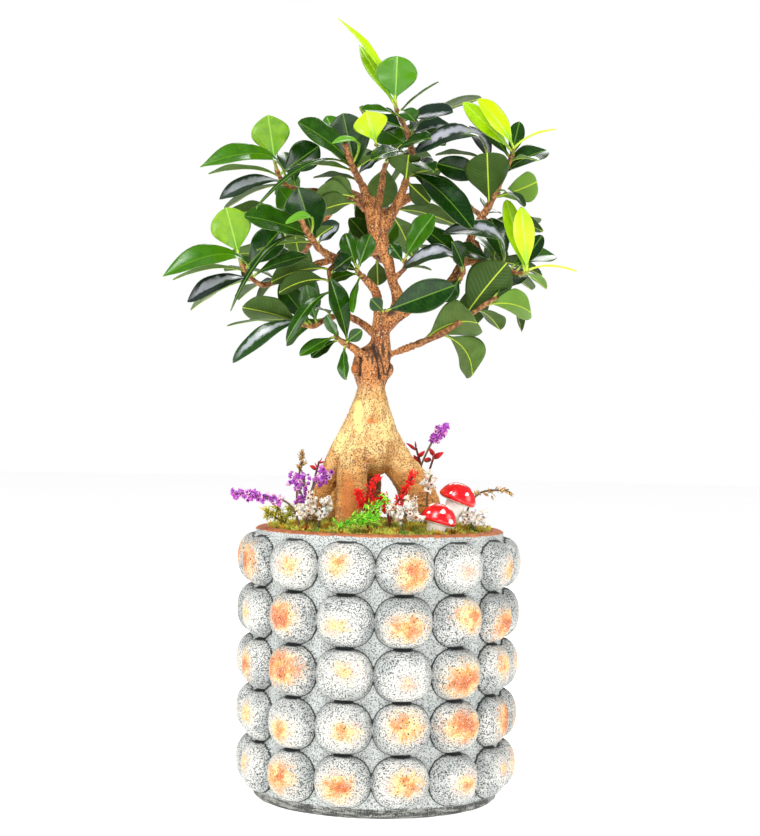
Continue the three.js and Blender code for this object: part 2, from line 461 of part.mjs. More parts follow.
// A closed skin over rings of points, each seen counterclockwise from the ring after it. A ring of
// one point is a tip. The cuts across the panels alternate, so both faces of a blade are split alike.
function loft(rings) {
  const positions = rings.flat().flatMap((point) => point.toArray());
  const starts = [];
  let count = 0;
  for (const ring of rings) {
    starts.push(count);
    count += ring.length;
  }
  const index = [];
  const cap = (ring, start, flip) => {
    for (let i = 1; i + 1 < ring.length; i += 1) {
      index.push(start, start + (flip ? i + 1 : i), start + (flip ? i : i + 1));
    }
  };
  cap(rings[0], starts[0], true);
  for (let r = 0; r + 1 < rings.length; r += 1) {
    const sides = Math.max(rings[r].length, rings[r + 1].length);
    for (let k = 0; k < sides; k += 1) {
      const next = (k + 1) % sides;
      const low = rings[r].length > 1 ? [starts[r] + k, starts[r] + next] : [starts[r]];
      const high = rings[r + 1].length > 1 ? [starts[r + 1] + k, starts[r + 1] + next] : [starts[r + 1]];
      if (high.length === 1) index.push(low[0], low[1], high[0]);
      else if (low.length === 1) index.push(low[0], high[1], high[0]);
      else if (k % 2) index.push(low[0], low[1], high[1], low[0], high[1], high[0]);
      else index.push(low[0], low[1], high[0], low[1], high[1], high[0]);
    }
  }
  cap(rings.at(-1), starts.at(-1), false);
  const geometry = new THREE.BufferGeometry();
  geometry.setAttribute('position', new THREE.Float32BufferAttribute(positions, 3));
  geometry.setIndex(index);
  return geometry;
}

// A tapering round limb through points with radii. Its first ring can be square to a given direction.
function limbSolid(points, radii, sides, firstDirection = null) {
  const last = points.length - 1;
  const rings = [];
  let across = null;
  points.forEach((point, i) => {
    const ahead = points[Math.min(i + 1, last)].clone().sub(points[Math.max(i - 1, 0)]).normalize();
    const direction = i === 0 && firstDirection ? firstDirection : ahead;
    if (!across) across = SLANT;
    across = across.clone().addScaledVector(direction, -across.dot(direction)).normalize();
    const other = direction.clone().cross(across);
    const ring = [];
    for (let k = 0; k < sides; k += 1) {
      const angle = (2 * Math.PI * k) / sides;
      ring.push(point.clone()
        .addScaledVector(across, radii[i] * Math.cos(angle))
        .addScaledVector(other, radii[i] * Math.sin(angle)));
    }
    rings.push(ring);
  });
  return solid(loft(rings));
}

function stationPoints(stations) {
  return stations.map(([x, z, depth]) => onSight([x, z, depth]));
}

function stationRadii(stations, grow = 0) {
  return stations.map((station) => station[3] + grow);
}

// The end of a limb or twig: where the next twig starts, in which direction and how thick
function endOf(points, radii) {
  const tip = points.at(-1);
  return { tip, direction: tip.clone().sub(points.at(-2)).normalize(), radius: radii.at(-1) };
}

// Trunk, roots and branches, all one grown piece
function woodSolid(grow = 0) {
  const limb = (sides) => (stations) => limbSolid(
    stationPoints(stations), stationRadii(stations, grow), sides);
  const trunk = [...Object.values(ROOTS), ...Object.values(TRUNK)].map(limb(TRUNK_SIDES));
  const branches = Object.values(LIMBS).map(limb(BRANCH_SIDES));
  return wholeBody(join([...trunk, ...branches]));
}

// A leaf's spine runs from its base to its tip on a parabola that bows to the side of the upper face,
// with the top of the bow nearer the base. Across it the blade is a thin chevron, thickest at the rib.
const BLADE_STATIONS = [0.22, 0.56, 0.86];
const SMALL_BLADE_STATIONS = [0.3, 0.72];
const SMALL_BLADE_WIDTH = 17.5;

function bladeFullness(share) {
  return Math.sin(Math.PI * share ** 1.27) ** 0.75;
}

function bladeStations(width, far) {
  return far || width <= SMALL_BLADE_WIDTH ? SMALL_BLADE_STATIONS : BLADE_STATIONS;
}

function leafSolid({ base, tip, width, face, bow, far = false }, grow = 0, bladeOnly = false) {
  const chord = tip.clone().sub(base);
  const length = chord.length();
  const along = chord.clone().normalize();
  const normal = face.clone().addScaledVector(along, -face.dot(along)).normalize();
  const across = along.clone().cross(normal);
  const petiole = Math.min(PETIOLE_LENGTH / length, 0.3);
  const spine = (t) => {
    const s = t ** BOW_SKEW;
    return base.clone().addScaledVector(chord, t).addScaledVector(normal, 4 * bow * length * s * (1 - s));
  };
  const section = (t, halfWidth) => {
    const point = spine(t);
    const heading = spine(Math.min(t + 0.02, 1)).sub(spine(Math.max(t - 0.02, 0))).normalize();
    const up = across.clone().cross(heading).normalize();
    const reach = halfWidth + grow;
    const lift = halfWidth * Math.sin(LEAF_FOLD);
    const half = RIB_THICKNESS / 2 + grow;
    return [
      point.clone().addScaledVector(up, half),
      point.clone().addScaledVector(across, reach).addScaledVector(up, lift),
      point.clone().addScaledVector(up, -half),
      point.clone().addScaledVector(across, -reach).addScaledVector(up, lift),
    ];
  };
  const rings = bladeOnly ? [] : [section(0, PETIOLE_HALF_WIDTH)];
  for (const share of bladeStations(width, far)) {
    const halfWidth = Math.max((width / 2) * bladeFullness(share), PETIOLE_HALF_WIDTH);
    rings.push(section(petiole + (1 - petiole) * share, halfWidth));
  }
  rings.push([spine(1).addScaledVector(along, grow)]);
  return solid(loft(rings));
}

// Places of a spray's twigs in space. The first twig starts a seat's width past what carries it.
function twigRuns(spray, ends) {
  const { tip, direction, radius } = ends[spray.from];
  const start = tip.clone().addScaledVector(direction, SEAT);
  return spray.twigs.map((stations, i) => {
    const points = stationPoints(stations);
    const radii = stationRadii(stations);
    if (i > 0) return { points, radii, first: null };
    return {
      points: [start, ...points],
      radii: [Math.min(radius, radii[0] * 1.1), ...radii],
      first: direction,
    };
  });
}

function pointAlong(points, share) {
  const place = Math.min(Math.max(share, 0), 0.999) * (points.length - 1);
  const i = Math.floor(place);
  return points[i].clone().lerp(points[i + 1], place - i);
}

function leafFromRow([place, x, z, depth, width, side, bow], runs, lean) {
  const twig = Math.floor(place);
  return {
    base: pointAlong(runs[twig].points, place - twig),
    tip: onSight([x, z, depth + lean]),
    width,
    face: facing(side),
    bow,
  };
}

// Leaf i of a far spray: it turns a golden angle past the last one and lies flatter near the twig's foot
function leafByRule(i, spray, runs, lean) {
  const { points } = runs[0];
  const share = (i + 1) / BACK_LEAVES;
  const base = pointAlong(points, THREE.MathUtils.lerp(...BACK_LEAF_SPAN, share));
  const axis = points.at(-1).clone().sub(points[0]).normalize();
  const side = SIDES.U.clone().addScaledVector(axis, -axis.z).normalize();
  const other = axis.clone().cross(side);
  const angle = spray.turn + i * GOLDEN_ANGLE;
  const open = THREE.MathUtils.degToRad(THREE.MathUtils.lerp(...BACK_LEAF_OPEN, share));
  const out = side.multiplyScalar(Math.cos(angle)).addScaledVector(other, Math.sin(angle));
  const heading = axis.clone().multiplyScalar(Math.cos(open)).addScaledVector(out, Math.sin(open));
  const length = BACK_LEAF_LENGTH * (0.9 + 0.2 * Math.sin(1.7 * i + spray.turn) ** 2);
  return {
    base,
    tip: deeper(base.clone().addScaledVector(heading, length), lean),
    width: BACK_LEAF_WIDTH * (0.9 + 0.2 * Math.cos(2.3 * i + spray.turn) ** 2),
    face: SIDES.U.clone().addScaledVector(axis, 0.5).addScaledVector(out, -0.25).normalize(),
    bow: BACK_LEAF_BOW,
    far: true,
  };
}

function isClear(shape, others) {
  return shape.intersect(others).volume() < 1e-4;
}

// Grows each spray in turn. A leaf takes the first lean at which it passes clear of the wood, of the
// other sprays and of the blades that its own spray already has.
function growSprays(wood, ends) {
  const sprays = [...SPRAYS, ...BACK_SPRAYS];
  const runs = new Map();
  const grown = new Map();
  for (const spray of [...sprays.filter((one) => !one.young), ...sprays.filter((one) => one.young)]) {
    const twigs = twigRuns(spray, ends);
    twigs.forEach(({ points, radii }, i) => {
      ends[i ? `${spray.name}:${i}` : spray.name] = endOf(points, radii);
    });
    runs.set(spray, twigs);
    grown.set(spray, join(twigs.map(
      ({ points, radii, first }) => limbSolid(points, radii, TWIG_SIDES, first))));
  }
  const misfits = [];
  for (const spray of sprays) {
    const rest = join([wood, ...sprays.filter((one) => one !== spray).map((one) => grown.get(one))]);
    const rows = spray.leaves ?? Array.from({ length: BACK_LEAVES }, (_, i) => i);
    const leaves = [];
    let blades = null;
    rows.forEach((row, i) => {
      const shape = (lean) => (spray.leaves
        ? leafFromRow(row, runs.get(spray), lean) : leafByRule(row, spray, runs.get(spray), lean));
      const fits = (lean) => isClear(leafSolid(shape(lean), LEAF_CLEARANCE), rest)
        && (!blades || isClear(leafSolid(shape(lean), LEAF_CLEARANCE, true), blades));
      const lean = LEANS.find(fits);
      if (lean === undefined) misfits.push(`${spray.name} ${i}`);
      const leaf = shape(lean ?? 0);
      leaves.push(leafSolid(leaf));
      const blade = leafSolid(leaf, 0, true);
      blades = blades ? blades.add(blade) : blade;
    });
    grown.set(spray, join([grown.get(spray), ...leaves]));
  }
  if (misfits.length) throw new Error(`no room for ${misfits.join(', ')}`);
  for (const spray of sprays) {
    addNode(spray.name, wholeBody(grown.get(spray)), spray.young ? 'young' : 'leaf', 0.4);
  }
}

// The pot: rings of points from the foot up the outside to the lip, less its turned inside
function potSolid() {
  const pitch = (POT_HEIGHT - BASE_BAND - LIP_BAND) / BUBBLE_ROWS;
  const bubble = (u, v) => {
    const inside = 1 - Math.abs(u) ** BUBBLE_SQUARENESS - Math.abs(v) ** BUBBLE_SQUARENESS;
    return inside > 0 ? BUBBLE_RISE * inside ** BUBBLE_STEEPNESS : 0;
  };
  const ring = (z, radiusAt) => {
    const points = [];
    for (let n = 0; n < BUBBLES_ROUND; n += 1) {
      for (const u of BUBBLE_STATIONS_ROUND) {
        const angle = FIRST_GROOVE + ((n + 0.5 + u / 2) * 2 * Math.PI) / BUBBLES_ROUND;
        const radius = radiusAt(u);
        points.push(new THREE.Vector3(radius * Math.sin(angle), -radius * Math.cos(angle), z));
      }
    }
    return points;
  };
  const even = (radius) => () => radius;
  const rings = [ring(0, even(FOOT_RADIUS)), ring(FOOT_BEVEL, even(BODY_RADIUS_LOW))];
  for (let row = 0; row < BUBBLE_ROWS; row += 1) {
    for (const v of BUBBLE_STATIONS_UP) {
      const z = BASE_BAND + (row + 0.5 + v / 2) * pitch;
      const wall = THREE.MathUtils.mapLinear(z, 0, POT_HEIGHT, BODY_RADIUS_LOW, BODY_RADIUS_HIGH);
      rings.push(ring(z, (u) => wall + bubble(u, v)));
    }
  }
  rings.push(ring(POT_HEIGHT - LIP_BAND, even(BODY_RADIUS_HIGH)));
  rings.push(ring(POT_HEIGHT - LIP_BEVEL, even(LIP_RADIUS)));
  rings.push(ring(POT_HEIGHT, even(LIP_RADIUS - LIP_BEVEL)));
  const inside = [
    new THREE.Vector2(0, FLOOR_HEIGHT),
    new THREE.Vector2(FLOOR_RADIUS, FLOOR_HEIGHT),
    new THREE.Vector2(innerRadius(POT_HEIGHT + LIP_BEVEL), POT_HEIGHT + LIP_BEVEL),
    new THREE.Vector2(0, POT_HEIGHT + LIP_BEVEL),
  ];
  return solid(loft(rings)).subtract(lathe(inside, FILL_SEGMENTS));
}

function innerRadius(z) {
  return THREE.MathUtils.mapLinear(z, FLOOR_HEIGHT, POT_HEIGHT, FLOOR_RADIUS, MOUTH_RADIUS);
}

function soilSolid() {
  const low = FLOOR_HEIGHT + SEAT;
  const profile = [
    new THREE.Vector2(0, low),
    new THREE.Vector2(innerRadius(low) - FILL_CLEARANCE, low),
    new THREE.Vector2(innerRadius(SOIL_TOP) - FILL_CLEARANCE, SOIL_TOP),
    new THREE.Vector2(0, SOIL_TOP),
  ];
  return lathe(profile, FILL_SEGMENTS);
}

// A turned solid: its profile is revolved about the Y axis and then stood up on Z
function lathe(profile, segments) {
  const geometry = new THREE.LatheGeometry(profile, segments);
  geometry.rotateX(Math.PI / 2);
  return solid(geometry);
}

// The moss is a low cushion: its height rises to the middle and swells in clumps
function mossHeight(x, y) {
  const share = Math.min(Math.hypot(x, y) / MOUTH_RADIUS, 1);
  const clumps = Math.sin(x / 5.1 + 0.7) * Math.cos(y / 4.6) + 0.6 * Math.sin((x + y) / 3.3 + 1.9);
  return MOSS_EDGE_HEIGHT + MOSS_CROWN * (1 - share ** 2) + MOSS_CLUMP * clumps;
}

function mossSolid() {
  const rim = innerRadius(MOSS_EDGE_HEIGHT) - FILL_CLEARANCE;
  const low = SOIL_TOP + SEAT;
  const ring = (radius, heightAt) => Array.from({ length: FILL_SEGMENTS }, (_, k) => {
    const angle = (2 * Math.PI * k) / FILL_SEGMENTS;
    const x = radius * Math.cos(angle);
    const y = radius * Math.sin(angle);
    return new THREE.Vector3(x, y, heightAt(x, y));
  });
  const rings = [
    ring(innerRadius(low) - FILL_CLEARANCE, () => low),
    ring(rim, () => MOSS_EDGE_HEIGHT - MOSS_SHOULDER),
  ];
  for (const share of MOSS_RINGS) rings.push(ring(rim * share, mossHeight));
  rings.push([new THREE.Vector3(0, 0, mossHeight(0, 0))]);
  return solid(loft(rings));
}

// A blossom grows from the middle of its stem: an open cup of three sides, or a pointed bud or leaf
function blossom(foot, heading, reach, breadth, pointed) {
  const across = SLANT.clone().cross(heading).normalize();
  const other = heading.clone().cross(across);
  const widest = foot.clone().addScaledVector(heading, pointed ? BUD_WIDEST * reach : reach);
  const ring = [0, 1, 2].map((k) => widest.clone()
    .addScaledVector(across, (breadth / 2) * Math.cos((k * 2 * Math.PI) / 3))
    .addScaledVector(other, (breadth / 2) * Math.sin((k * 2 * Math.PI) / 3)));
  const tip = foot.clone().addScaledVector(heading, reach);
  return solid(loft(pointed ? [[foot], ring, [tip]] : [[foot], ring]));
}

function stemSolids(sprig, grow = 0) {
  return sprig.stems.map(stationPoints).map(
    (points) => limbSolid(points, points.map(() => SPRIG_RADIUS + grow), SPRIG_SIDES));
}

function sprigSolid(sprig) {
  const shapes = stemSolids(sprig);
  sprig.stems.forEach((stations, s) => {
    const points = stationPoints(stations);
    for (let i = 0; i < sprig.count; i += 1) {
      const share = sprig.from + ((1 - sprig.from) * (i + FIRST_BLOSSOM)) / sprig.count;
      const foot = pointAlong(points, share);
      const axis = pointAlong(points, share + 0.02).sub(pointAlong(points, share - 0.02)).normalize();
      const side = new THREE.Vector3(0, -1, 0).cross(axis).normalize();
      const other = axis.clone().cross(side);
      const angle = i * GOLDEN_ANGLE + s;
      const open = THREE.MathUtils.degToRad(sprig.open);
      const heading = axis.multiplyScalar(Math.cos(open))
        .addScaledVector(side, Math.sin(open) * Math.cos(angle))
        .addScaledVector(other, Math.sin(open) * Math.sin(angle));
      shapes.push(blossom(foot, heading, sprig.reach, sprig.breadth, Boolean(sprig.pointed)));
    }
  });
  return wholeBody(join(shapes));
}

// Turned pieces of a toadstool, standing on the middle of the cap's underside and then tipped
function placeToadstool(geometry, { place, tip }) {
  geometry.rotateX(Math.PI / 2);
  geometry.rotateY(THREE.MathUtils.degToRad(tip));
  geometry.translate(...onSight(place).toArray());
  return solid(geometry);
}

function capSolid(toadstool) {
  const points = CAP_PROFILE.map(([share, height]) => new THREE.Vector2(share * toadstool.radius, height));
  return placeToadstool(new THREE.LatheGeometry(points, CAP_SIDES), toadstool);
}

function stalkSolid(toadstool, grow = 0) {
  const profile = [
    new THREE.Vector2(0, -toadstool.stalk - grow),
    new THREE.Vector2(STALK_RADIUS * STALK_FOOT + grow, -toadstool.stalk - grow),
    new THREE.Vector2(STALK_RADIUS * STALK_TOP + grow, -SEAT),
    new THREE.Vector2(0, -SEAT),
  ];
  return placeToadstool(new THREE.LatheGeometry(profile, STALK_SIDES), toadstool);
}

const wood = woodSolid();
const ends = {};
for (const [name, stations] of Object.entries(LIMBS)) {
  ends[name] = endOf(stationPoints(stations), stationRadii(stations));
}

addNode('pot', potSolid(), 'pot', 0.85);
const rootCuts = woodSolid(SEAT);
addNode('soil', wholeBody(soilSolid().subtract(rootCuts)), 'soil', 0.95);
const mossCuts = [rootCuts, ...SPRIGS.flatMap((sprig) => stemSolids(sprig, 2 * SEAT)),
  ...TOADSTOOLS.map((toadstool) => stalkSolid(toadstool, SEAT))];
addNode('moss', wholeBody(mossSolid().subtract(join(mossCuts))), 'moss', 0.95);
addNode('wood', wood, 'bark', 0.8);
for (const sprig of SPRIGS) addNode(sprig.name, sprigSolid(sprig), sprig.colour, 0.9);
for (const toadstool of TOADSTOOLS) {
  addNode(`${toadstool.name}_cap`, capSolid(toadstool), 'cap', 0.3);
  addNode(`${toadstool.name}_stalk`, stalkSolid(toadstool), 'stalk', 0.8);
}
growSprays(wood, ends);

export default group;
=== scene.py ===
"""The look of a potted ficus ginseng bonsai: a round pot of raised bubbles, moss with dried sprigs
and two toadstool picks, a swollen root with its trunk and branches, and leafy sprays.

Tables of places are in millimetres, everything that is built from them is in metres. +Z is up, the
origin is the middle of the pot's foot, and the front is -Y.
"""

import logging
import math
from dataclasses import dataclass, field
from enum import Enum
from typing import Callable, Sequence

import bpy
import numpy as np
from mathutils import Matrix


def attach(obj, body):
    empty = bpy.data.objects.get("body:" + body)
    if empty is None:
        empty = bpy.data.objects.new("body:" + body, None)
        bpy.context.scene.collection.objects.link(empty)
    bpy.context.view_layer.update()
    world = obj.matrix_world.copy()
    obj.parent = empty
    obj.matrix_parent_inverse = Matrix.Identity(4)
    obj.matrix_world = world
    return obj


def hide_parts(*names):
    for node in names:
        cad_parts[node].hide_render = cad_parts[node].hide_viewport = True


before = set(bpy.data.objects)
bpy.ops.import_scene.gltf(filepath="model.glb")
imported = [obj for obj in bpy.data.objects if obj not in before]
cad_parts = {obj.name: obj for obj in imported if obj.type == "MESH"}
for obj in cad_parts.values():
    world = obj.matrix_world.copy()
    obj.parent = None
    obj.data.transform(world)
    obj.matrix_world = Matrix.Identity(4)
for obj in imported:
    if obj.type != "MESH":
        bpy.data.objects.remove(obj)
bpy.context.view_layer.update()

LOG = logging.getLogger("bonsai")
MM = 0.001
BODY = "root"
SEED = 7

# Where the plant is looked at from
EYE = np.array([-1.1, -1128.0, 225.6]) * MM
CAMERA_ROLL = -1.15
CAMERA_LENS = 80.957
SENSOR = 36.0

# A direction that no limb or stem runs along, to start their rings of points from
SLANT = np.array([0.31, 0.9, 0.29])
GOLDEN_ANGLE = math.radians(137.5)

# About a full turn, for waves and for turns drawn by chance
LAP = 6.28


class Slot(Enum):
    """The material slots."""

    POT = "pot"
    SOIL = "soil"
    MOSS = "moss"
    BARK = "bark"
    LEAF = "leaf"
    YOUNG_LEAF = "young_leaf"
    PURPLE = "purple_flower"
    WHITE = "white_flower"
    RED = "red_flower"
    FROND = "green_frond"
    SEED_HEAD = "seed_head"
    MOSS_TUFT = "moss_tuft"
    CAP = "toadstool_cap"
    STALK = "toadstool_stalk"


# Shader maths

def operator(operation: str, reflected: bool = False) -> Callable[["Signal", object], "Signal"]:
    """A method for an arithmetic operator.

    Args:
        operation: What it does.
        reflected: Whether the other operand comes first.

    Returns:
        The method, which adds a Math node for this signal and the other operand.
    """

    def method(self: "Signal", other: object) -> "Signal":
        """The two operands, combined."""
        return self.math(operation, *((other, self) if reflected else (self, other)))

    return method


class Signal:
    """An output socket of a material, with arithmetic that adds Math nodes."""

    def __init__(self, shader: "Shader", socket: bpy.types.NodeSocket) -> None:
        """Keeps the socket and the shader that owns it."""
        self.shader = shader
        self.socket = socket

    def math(self, operation: str, *values: object) -> "Signal":
        """The result of an operation on values, each a number or a signal."""
        return self.shader.node("ShaderNodeMath", {"operation": operation}, dict(enumerate(values)))

    __add__, __radd__ = operator("ADD"), operator("ADD", True)
    __sub__, __rsub__ = operator("SUBTRACT"), operator("SUBTRACT", True)
    __mul__, __rmul__ = operator("MULTIPLY"), operator("MULTIPLY", True)

    def step(self, low: float, high: float) -> "Signal":
        """A smooth step.

        Args:
            low: Where it starts.
            high: Where it ends.

        Returns:
            0 at low and 1 at high, or 0 at high and 1 at low where high is the lower number.
        """
        links = {0: self, 1: min(low, high), 2: max(low, high), 3: float(low >= high), 4: float(low < high)}
        return self.shader.node("ShaderNodeMapRange", {"interpolation_type": "SMOOTHSTEP"}, links)


def colour(code: str) -> tuple[float, float, float, float]:
    """A colour for a socket.

    Args:
        code: Six hexadecimal digits, as a screen shows the colour.

    Returns:
        Its linear red, green and blue, with full alpha.
    """
    parts = [int(code[i:i + 2], 16) / 255 for i in (0, 2, 4)]
    linear = [p / 12.92 if p <= 0.04045 else ((p + 0.055) / 1.055) ** 2.4 for p in parts]
    return (linear[0], linear[1], linear[2], 1.0)


class Shader:
    """A material's node tree, which reads places in millimetres."""

    def __init__(self, name: str) -> None:
        """Starts an empty material of the given name."""
        self.material = bpy.data.materials.new(name)
        self.material.use_nodes = True
        self.tree = self.material.node_tree
        self.tree.nodes.clear()
        place = self.node("ShaderNodeTexCoord", out="Object")
        self.place = self.node("ShaderNodeVectorMath", {"operation": "SCALE"}, {0: place, "Scale": 1 / MM})

    def node(self, kind: str, settings: dict[str, object] | None = None,
             links: dict[object, object] | None = None, out: object = 0) -> Signal:
        """Adds any node.

        Args:
            kind: The node's type.
            settings: Its properties, set first.
            links: The values or signals of its inputs, by name or number.
            out: The name or number of the output that is wanted.

        Returns:
            The wanted output.
        """
        node = self.tree.nodes.new(kind)
        for key, value in (settings or {}).items():
            setattr(node, key, value)
        for key, value in (links or {}).items():
            if isinstance(value, Signal):
                self.tree.links.new(value.socket, node.inputs[key])
            else:
                node.inputs[key].default_value = value
        return Signal(self, node.outputs[out])

    def value(self, name: str) -> Signal:
        """A named value that the mesh carries at its points."""
        return self.node("ShaderNodeAttribute", {"attribute_name": name}, out="Fac")

    def height(self) -> Signal:
        """How high the place is."""
        return self.node("ShaderNodeSeparateXYZ", links={0: self.place}, out=2)

    def stretched(self, x: float, y: float, z: float) -> Signal:
        """The place, with each axis multiplied."""
        return self.node("ShaderNodeVectorMath", {"operation": "MULTIPLY"}, {0: self.place, 1: (x, y, z)})

    def noise(self, size: float, detail: float = 3.0, roughness: float = 0.55,
              place: Signal | None = None) -> Signal:
        """Cloudy noise round one half.

        Args:
            size: How wide a cloud is, in millimetres.
            detail: How many finer layers it has.
            roughness: How strong those are.
            place: Where it is read, or the place itself.

        Returns:
            The noise.
        """
        links = {"Vector": place or self.place, "Scale": 1 / size, "Detail": detail, "Roughness": roughness}
        return self.node("ShaderNodeTexNoise", {"noise_dimensions": "3D"}, links)

    def cells(self, size: float) -> Signal:
        """The distance to the middle of the nearest of scattered cells of a size in millimetres."""
        links = {"Vector": self.place, "Scale": 1 / size}
        return self.node("ShaderNodeTexVoronoi", {"feature": "F1"}, links)

    def mix(self, factor: Signal | float, low: Signal | str, high: Signal | str) -> Signal:
        """A colour between two colours.

        Args:
            factor: How far it is from the first to the second.
            low: The first colour, a signal or six digits.
            high: The second one.

        Returns:
            The colour.
        """
        ends = [colour(end) if isinstance(end, str) else end for end in (low, high)]
        settings = {"data_type": "RGBA", "blend_type": "MIX", "clamp_factor": True}
        return self.node("ShaderNodeMix", settings, {0: factor, 6: ends[0], 7: ends[1]}, out=2)

    def coated(self, base: Signal, *coats: tuple[Signal | float, Signal | str]) -> Signal:
        """A colour with others laid over it in turn.

        Args:
            base: The undermost colour.
            coats: How thickly each other one lies, and its colour.

        Returns:
            The colour that shows.
        """
        for cover, tone in coats:
            base = self.mix(cover, base, tone)
        return base

    def finish(self, base: Signal | str, roughness: Signal | float, relief: Signal | None = None,
               depth: float = 0.3, **others: object) -> bpy.types.Material:
        """Ends the tree in a Principled surface.

        Args:
            base: The base colour, a signal or six digits.
            roughness: The roughness.
            relief: A height from 0 to 1 for a bump.
            depth: How deep the bump is, in millimetres.
            others: Values or signals for other inputs, by name, with _ for a space.

        Returns:
            The material.
        """
        links = {"Base Color": colour(base) if isinstance(base, str) else base, "Roughness": roughness}
        links.update({key.replace("_", " "): value for key, value in others.items()})
        if relief is not None:
            bump = {"Height": relief, "Distance": depth * MM, "Strength": 1.0}
            links["Normal"] = self.node("ShaderNodeBump", links=bump)
        surface = self.node("ShaderNodeBsdfPrincipled", links=links)
        output = self.tree.nodes.new("ShaderNodeOutputMaterial")
        self.tree.links.new(surface.socket, output.inputs["Surface"])
        return self.material


# Surfaces as whole arrays

@dataclass
class Patch:
    """Points with their faces and named values.

    Attributes:
        points: Places in metres, n by 3.
        faces: Groups of faces of one size each, m by 3 or 4.
        values: Numbers at the points, by name.
    """

    points: np.ndarray
    faces: list[np.ndarray]
    values: dict[str, np.ndarray] = field(default_factory=dict)

    def tagged(self, **values: np.ndarray | float) -> "Patch":
        """Names more values of the points.

        Args:
            values: By name, an array or one number for all the points.

        Returns:
            This patch.
        """
        for name, value in values.items():
            self.values[name] = np.broadcast_to(np.asarray(value, float), (len(self.points),)).copy()
        return self


def joined(patches: Sequence[Patch]) -> Patch:
    """One patch of several.

    Args:
        patches: The patches.

    Returns:
        All their points and faces, and every named value, 0 where a patch lacks it.
    """
    starts = np.cumsum([0] + [len(patch.points) for patch in patches])
    names = {name for patch in patches for name in patch.values}
    values = {name: np.concatenate([patch.values.get(name, np.zeros(len(patch.points)))
                                    for patch in patches]) for name in sorted(names)}
    faces = [group + start for patch, start in zip(patches, starts) for group in patch.faces]
    return Patch(np.concatenate([patch.points for patch in patches]), faces, values)


def unit(vectors: np.ndarray) -> np.ndarray:
    """The vectors, each made one long."""
    return vectors / np.maximum(np.linalg.norm(vectors, axis=-1, keepdims=True), 1e-12)


def on_sight(stations: object) -> np.ndarray:
    """Places in space of stations as they are seen on the upright plane through the pot's middle.

    Args:
        stations: x, z and depth in millimetres, in the last axis.

    Returns:
        x, y and z in metres: x and z are moved along the line of sight to the station's depth.
    """
    rows = np.asarray(stations, float)[..., :3] * MM
    scale = (rows[..., 2] - EYE[1]) / -EYE[1]
    return np.stack([EYE[0] + (rows[..., 0] - EYE[0]) * scale, rows[..., 2],
                     EYE[2] + (rows[..., 1] - EYE[2]) * scale], axis=-1)


def deeper(points: np.ndarray, amount: np.ndarray | float) -> np.ndarray:
    """Points scaled about the eye, so that each gets deeper by the amount in metres."""
    scale = (points[..., 1] + amount - EYE[1]) / (points[..., 1] - EYE[1])
    return (points - EYE) * np.asarray(scale)[..., None] + EYE


def smooth_path(stations: np.ndarray, steps: int) -> np.ndarray:
    """A smooth curve through stations: between two of them it is a cubic whose slope at each station is
    half the step from the one before to the one after.

    Args:
        stations: Places, with further columns such as the radius, n by k.
        steps: How many points there are for each stretch.

    Returns:
        The curve's points, with the further columns.
    """
    padded = np.concatenate([2 * stations[:1] - stations[1:2], stations, 2 * stations[-1:] - stations[-2:-1]])
    t = np.linspace(0, len(stations) - 1, steps * (len(stations) - 1) + 1)
    i = np.minimum(t.astype(int), len(stations) - 2)
    f = (t - i)[:, None]
    a, b, c, d = padded[i], padded[i + 1], padded[i + 2], padded[i + 3]
    return 0.5 * (2 * b + (c - a) * f + (2 * a - 5 * b + 4 * c - d) * f ** 2
                  + (3 * b - a - 3 * c + d) * f ** 3)


def grid_faces(rows: int, columns: int, closed: bool = True) -> np.ndarray:
    """Quads of a grid of points, row by row.

    Args:
        rows: How many rows there are.
        columns: How many points a row has.
        closed: Whether a row's last point meets its first.

    Returns:
        The quads, m by 4. They face out where rows run counterclockwise, seen from the last row.
    """
    r, c = np.meshgrid(np.arange(rows - 1), np.arange(columns if closed else columns - 1), indexing="ij")
    n = (c + 1) % columns
    quads = [r * columns + c, r * columns + n, (r + 1) * columns + n, (r + 1) * columns + c]
    return np.stack(quads, axis=-1).reshape(-1, 4)


def capped_grid(grid: np.ndarray, **values: np.ndarray) -> Patch:
    """A closed skin over rings of points, with a fan to a middle point at both ends.

    Args:
        grid: The points, rings by columns by 3, counterclockwise seen from the last ring.
        values: Named numbers, rings by columns.

    Returns:
        The closed patch.
    """
    rows, columns = grid.shape[:2]
    ends = np.stack([grid[0].mean(axis=0), grid[-1].mean(axis=0)])
    k = np.arange(columns)
    n = (k + 1) % columns
    low = np.stack([np.full(columns, rows * columns), n, k], axis=-1)
    last = (rows - 1) * columns
    high = np.stack([np.full(columns, rows * columns + 1), last + k, last + n], axis=-1)
    tags = {name: np.concatenate([value.ravel(), [value[0].mean(), value[-1].mean()]])
            for name, value in values.items()}
    return Patch(np.concatenate([grid.reshape(-1, 3), ends]),
                 [grid_faces(rows, columns), low, high], tags)


def ring_frame(path: np.ndarray) -> tuple[np.ndarray, np.ndarray, np.ndarray]:
    """Directions at each point of a path.

    Args:
        path: The points, n by 3.

    Returns:
        The way ahead, and two directions square to it and to each other.
    """
    ahead = unit(np.gradient(path, axis=0))
    across = unit(SLANT - (ahead @ SLANT)[:, None] * ahead)
    return ahead, across, np.cross(ahead, across)


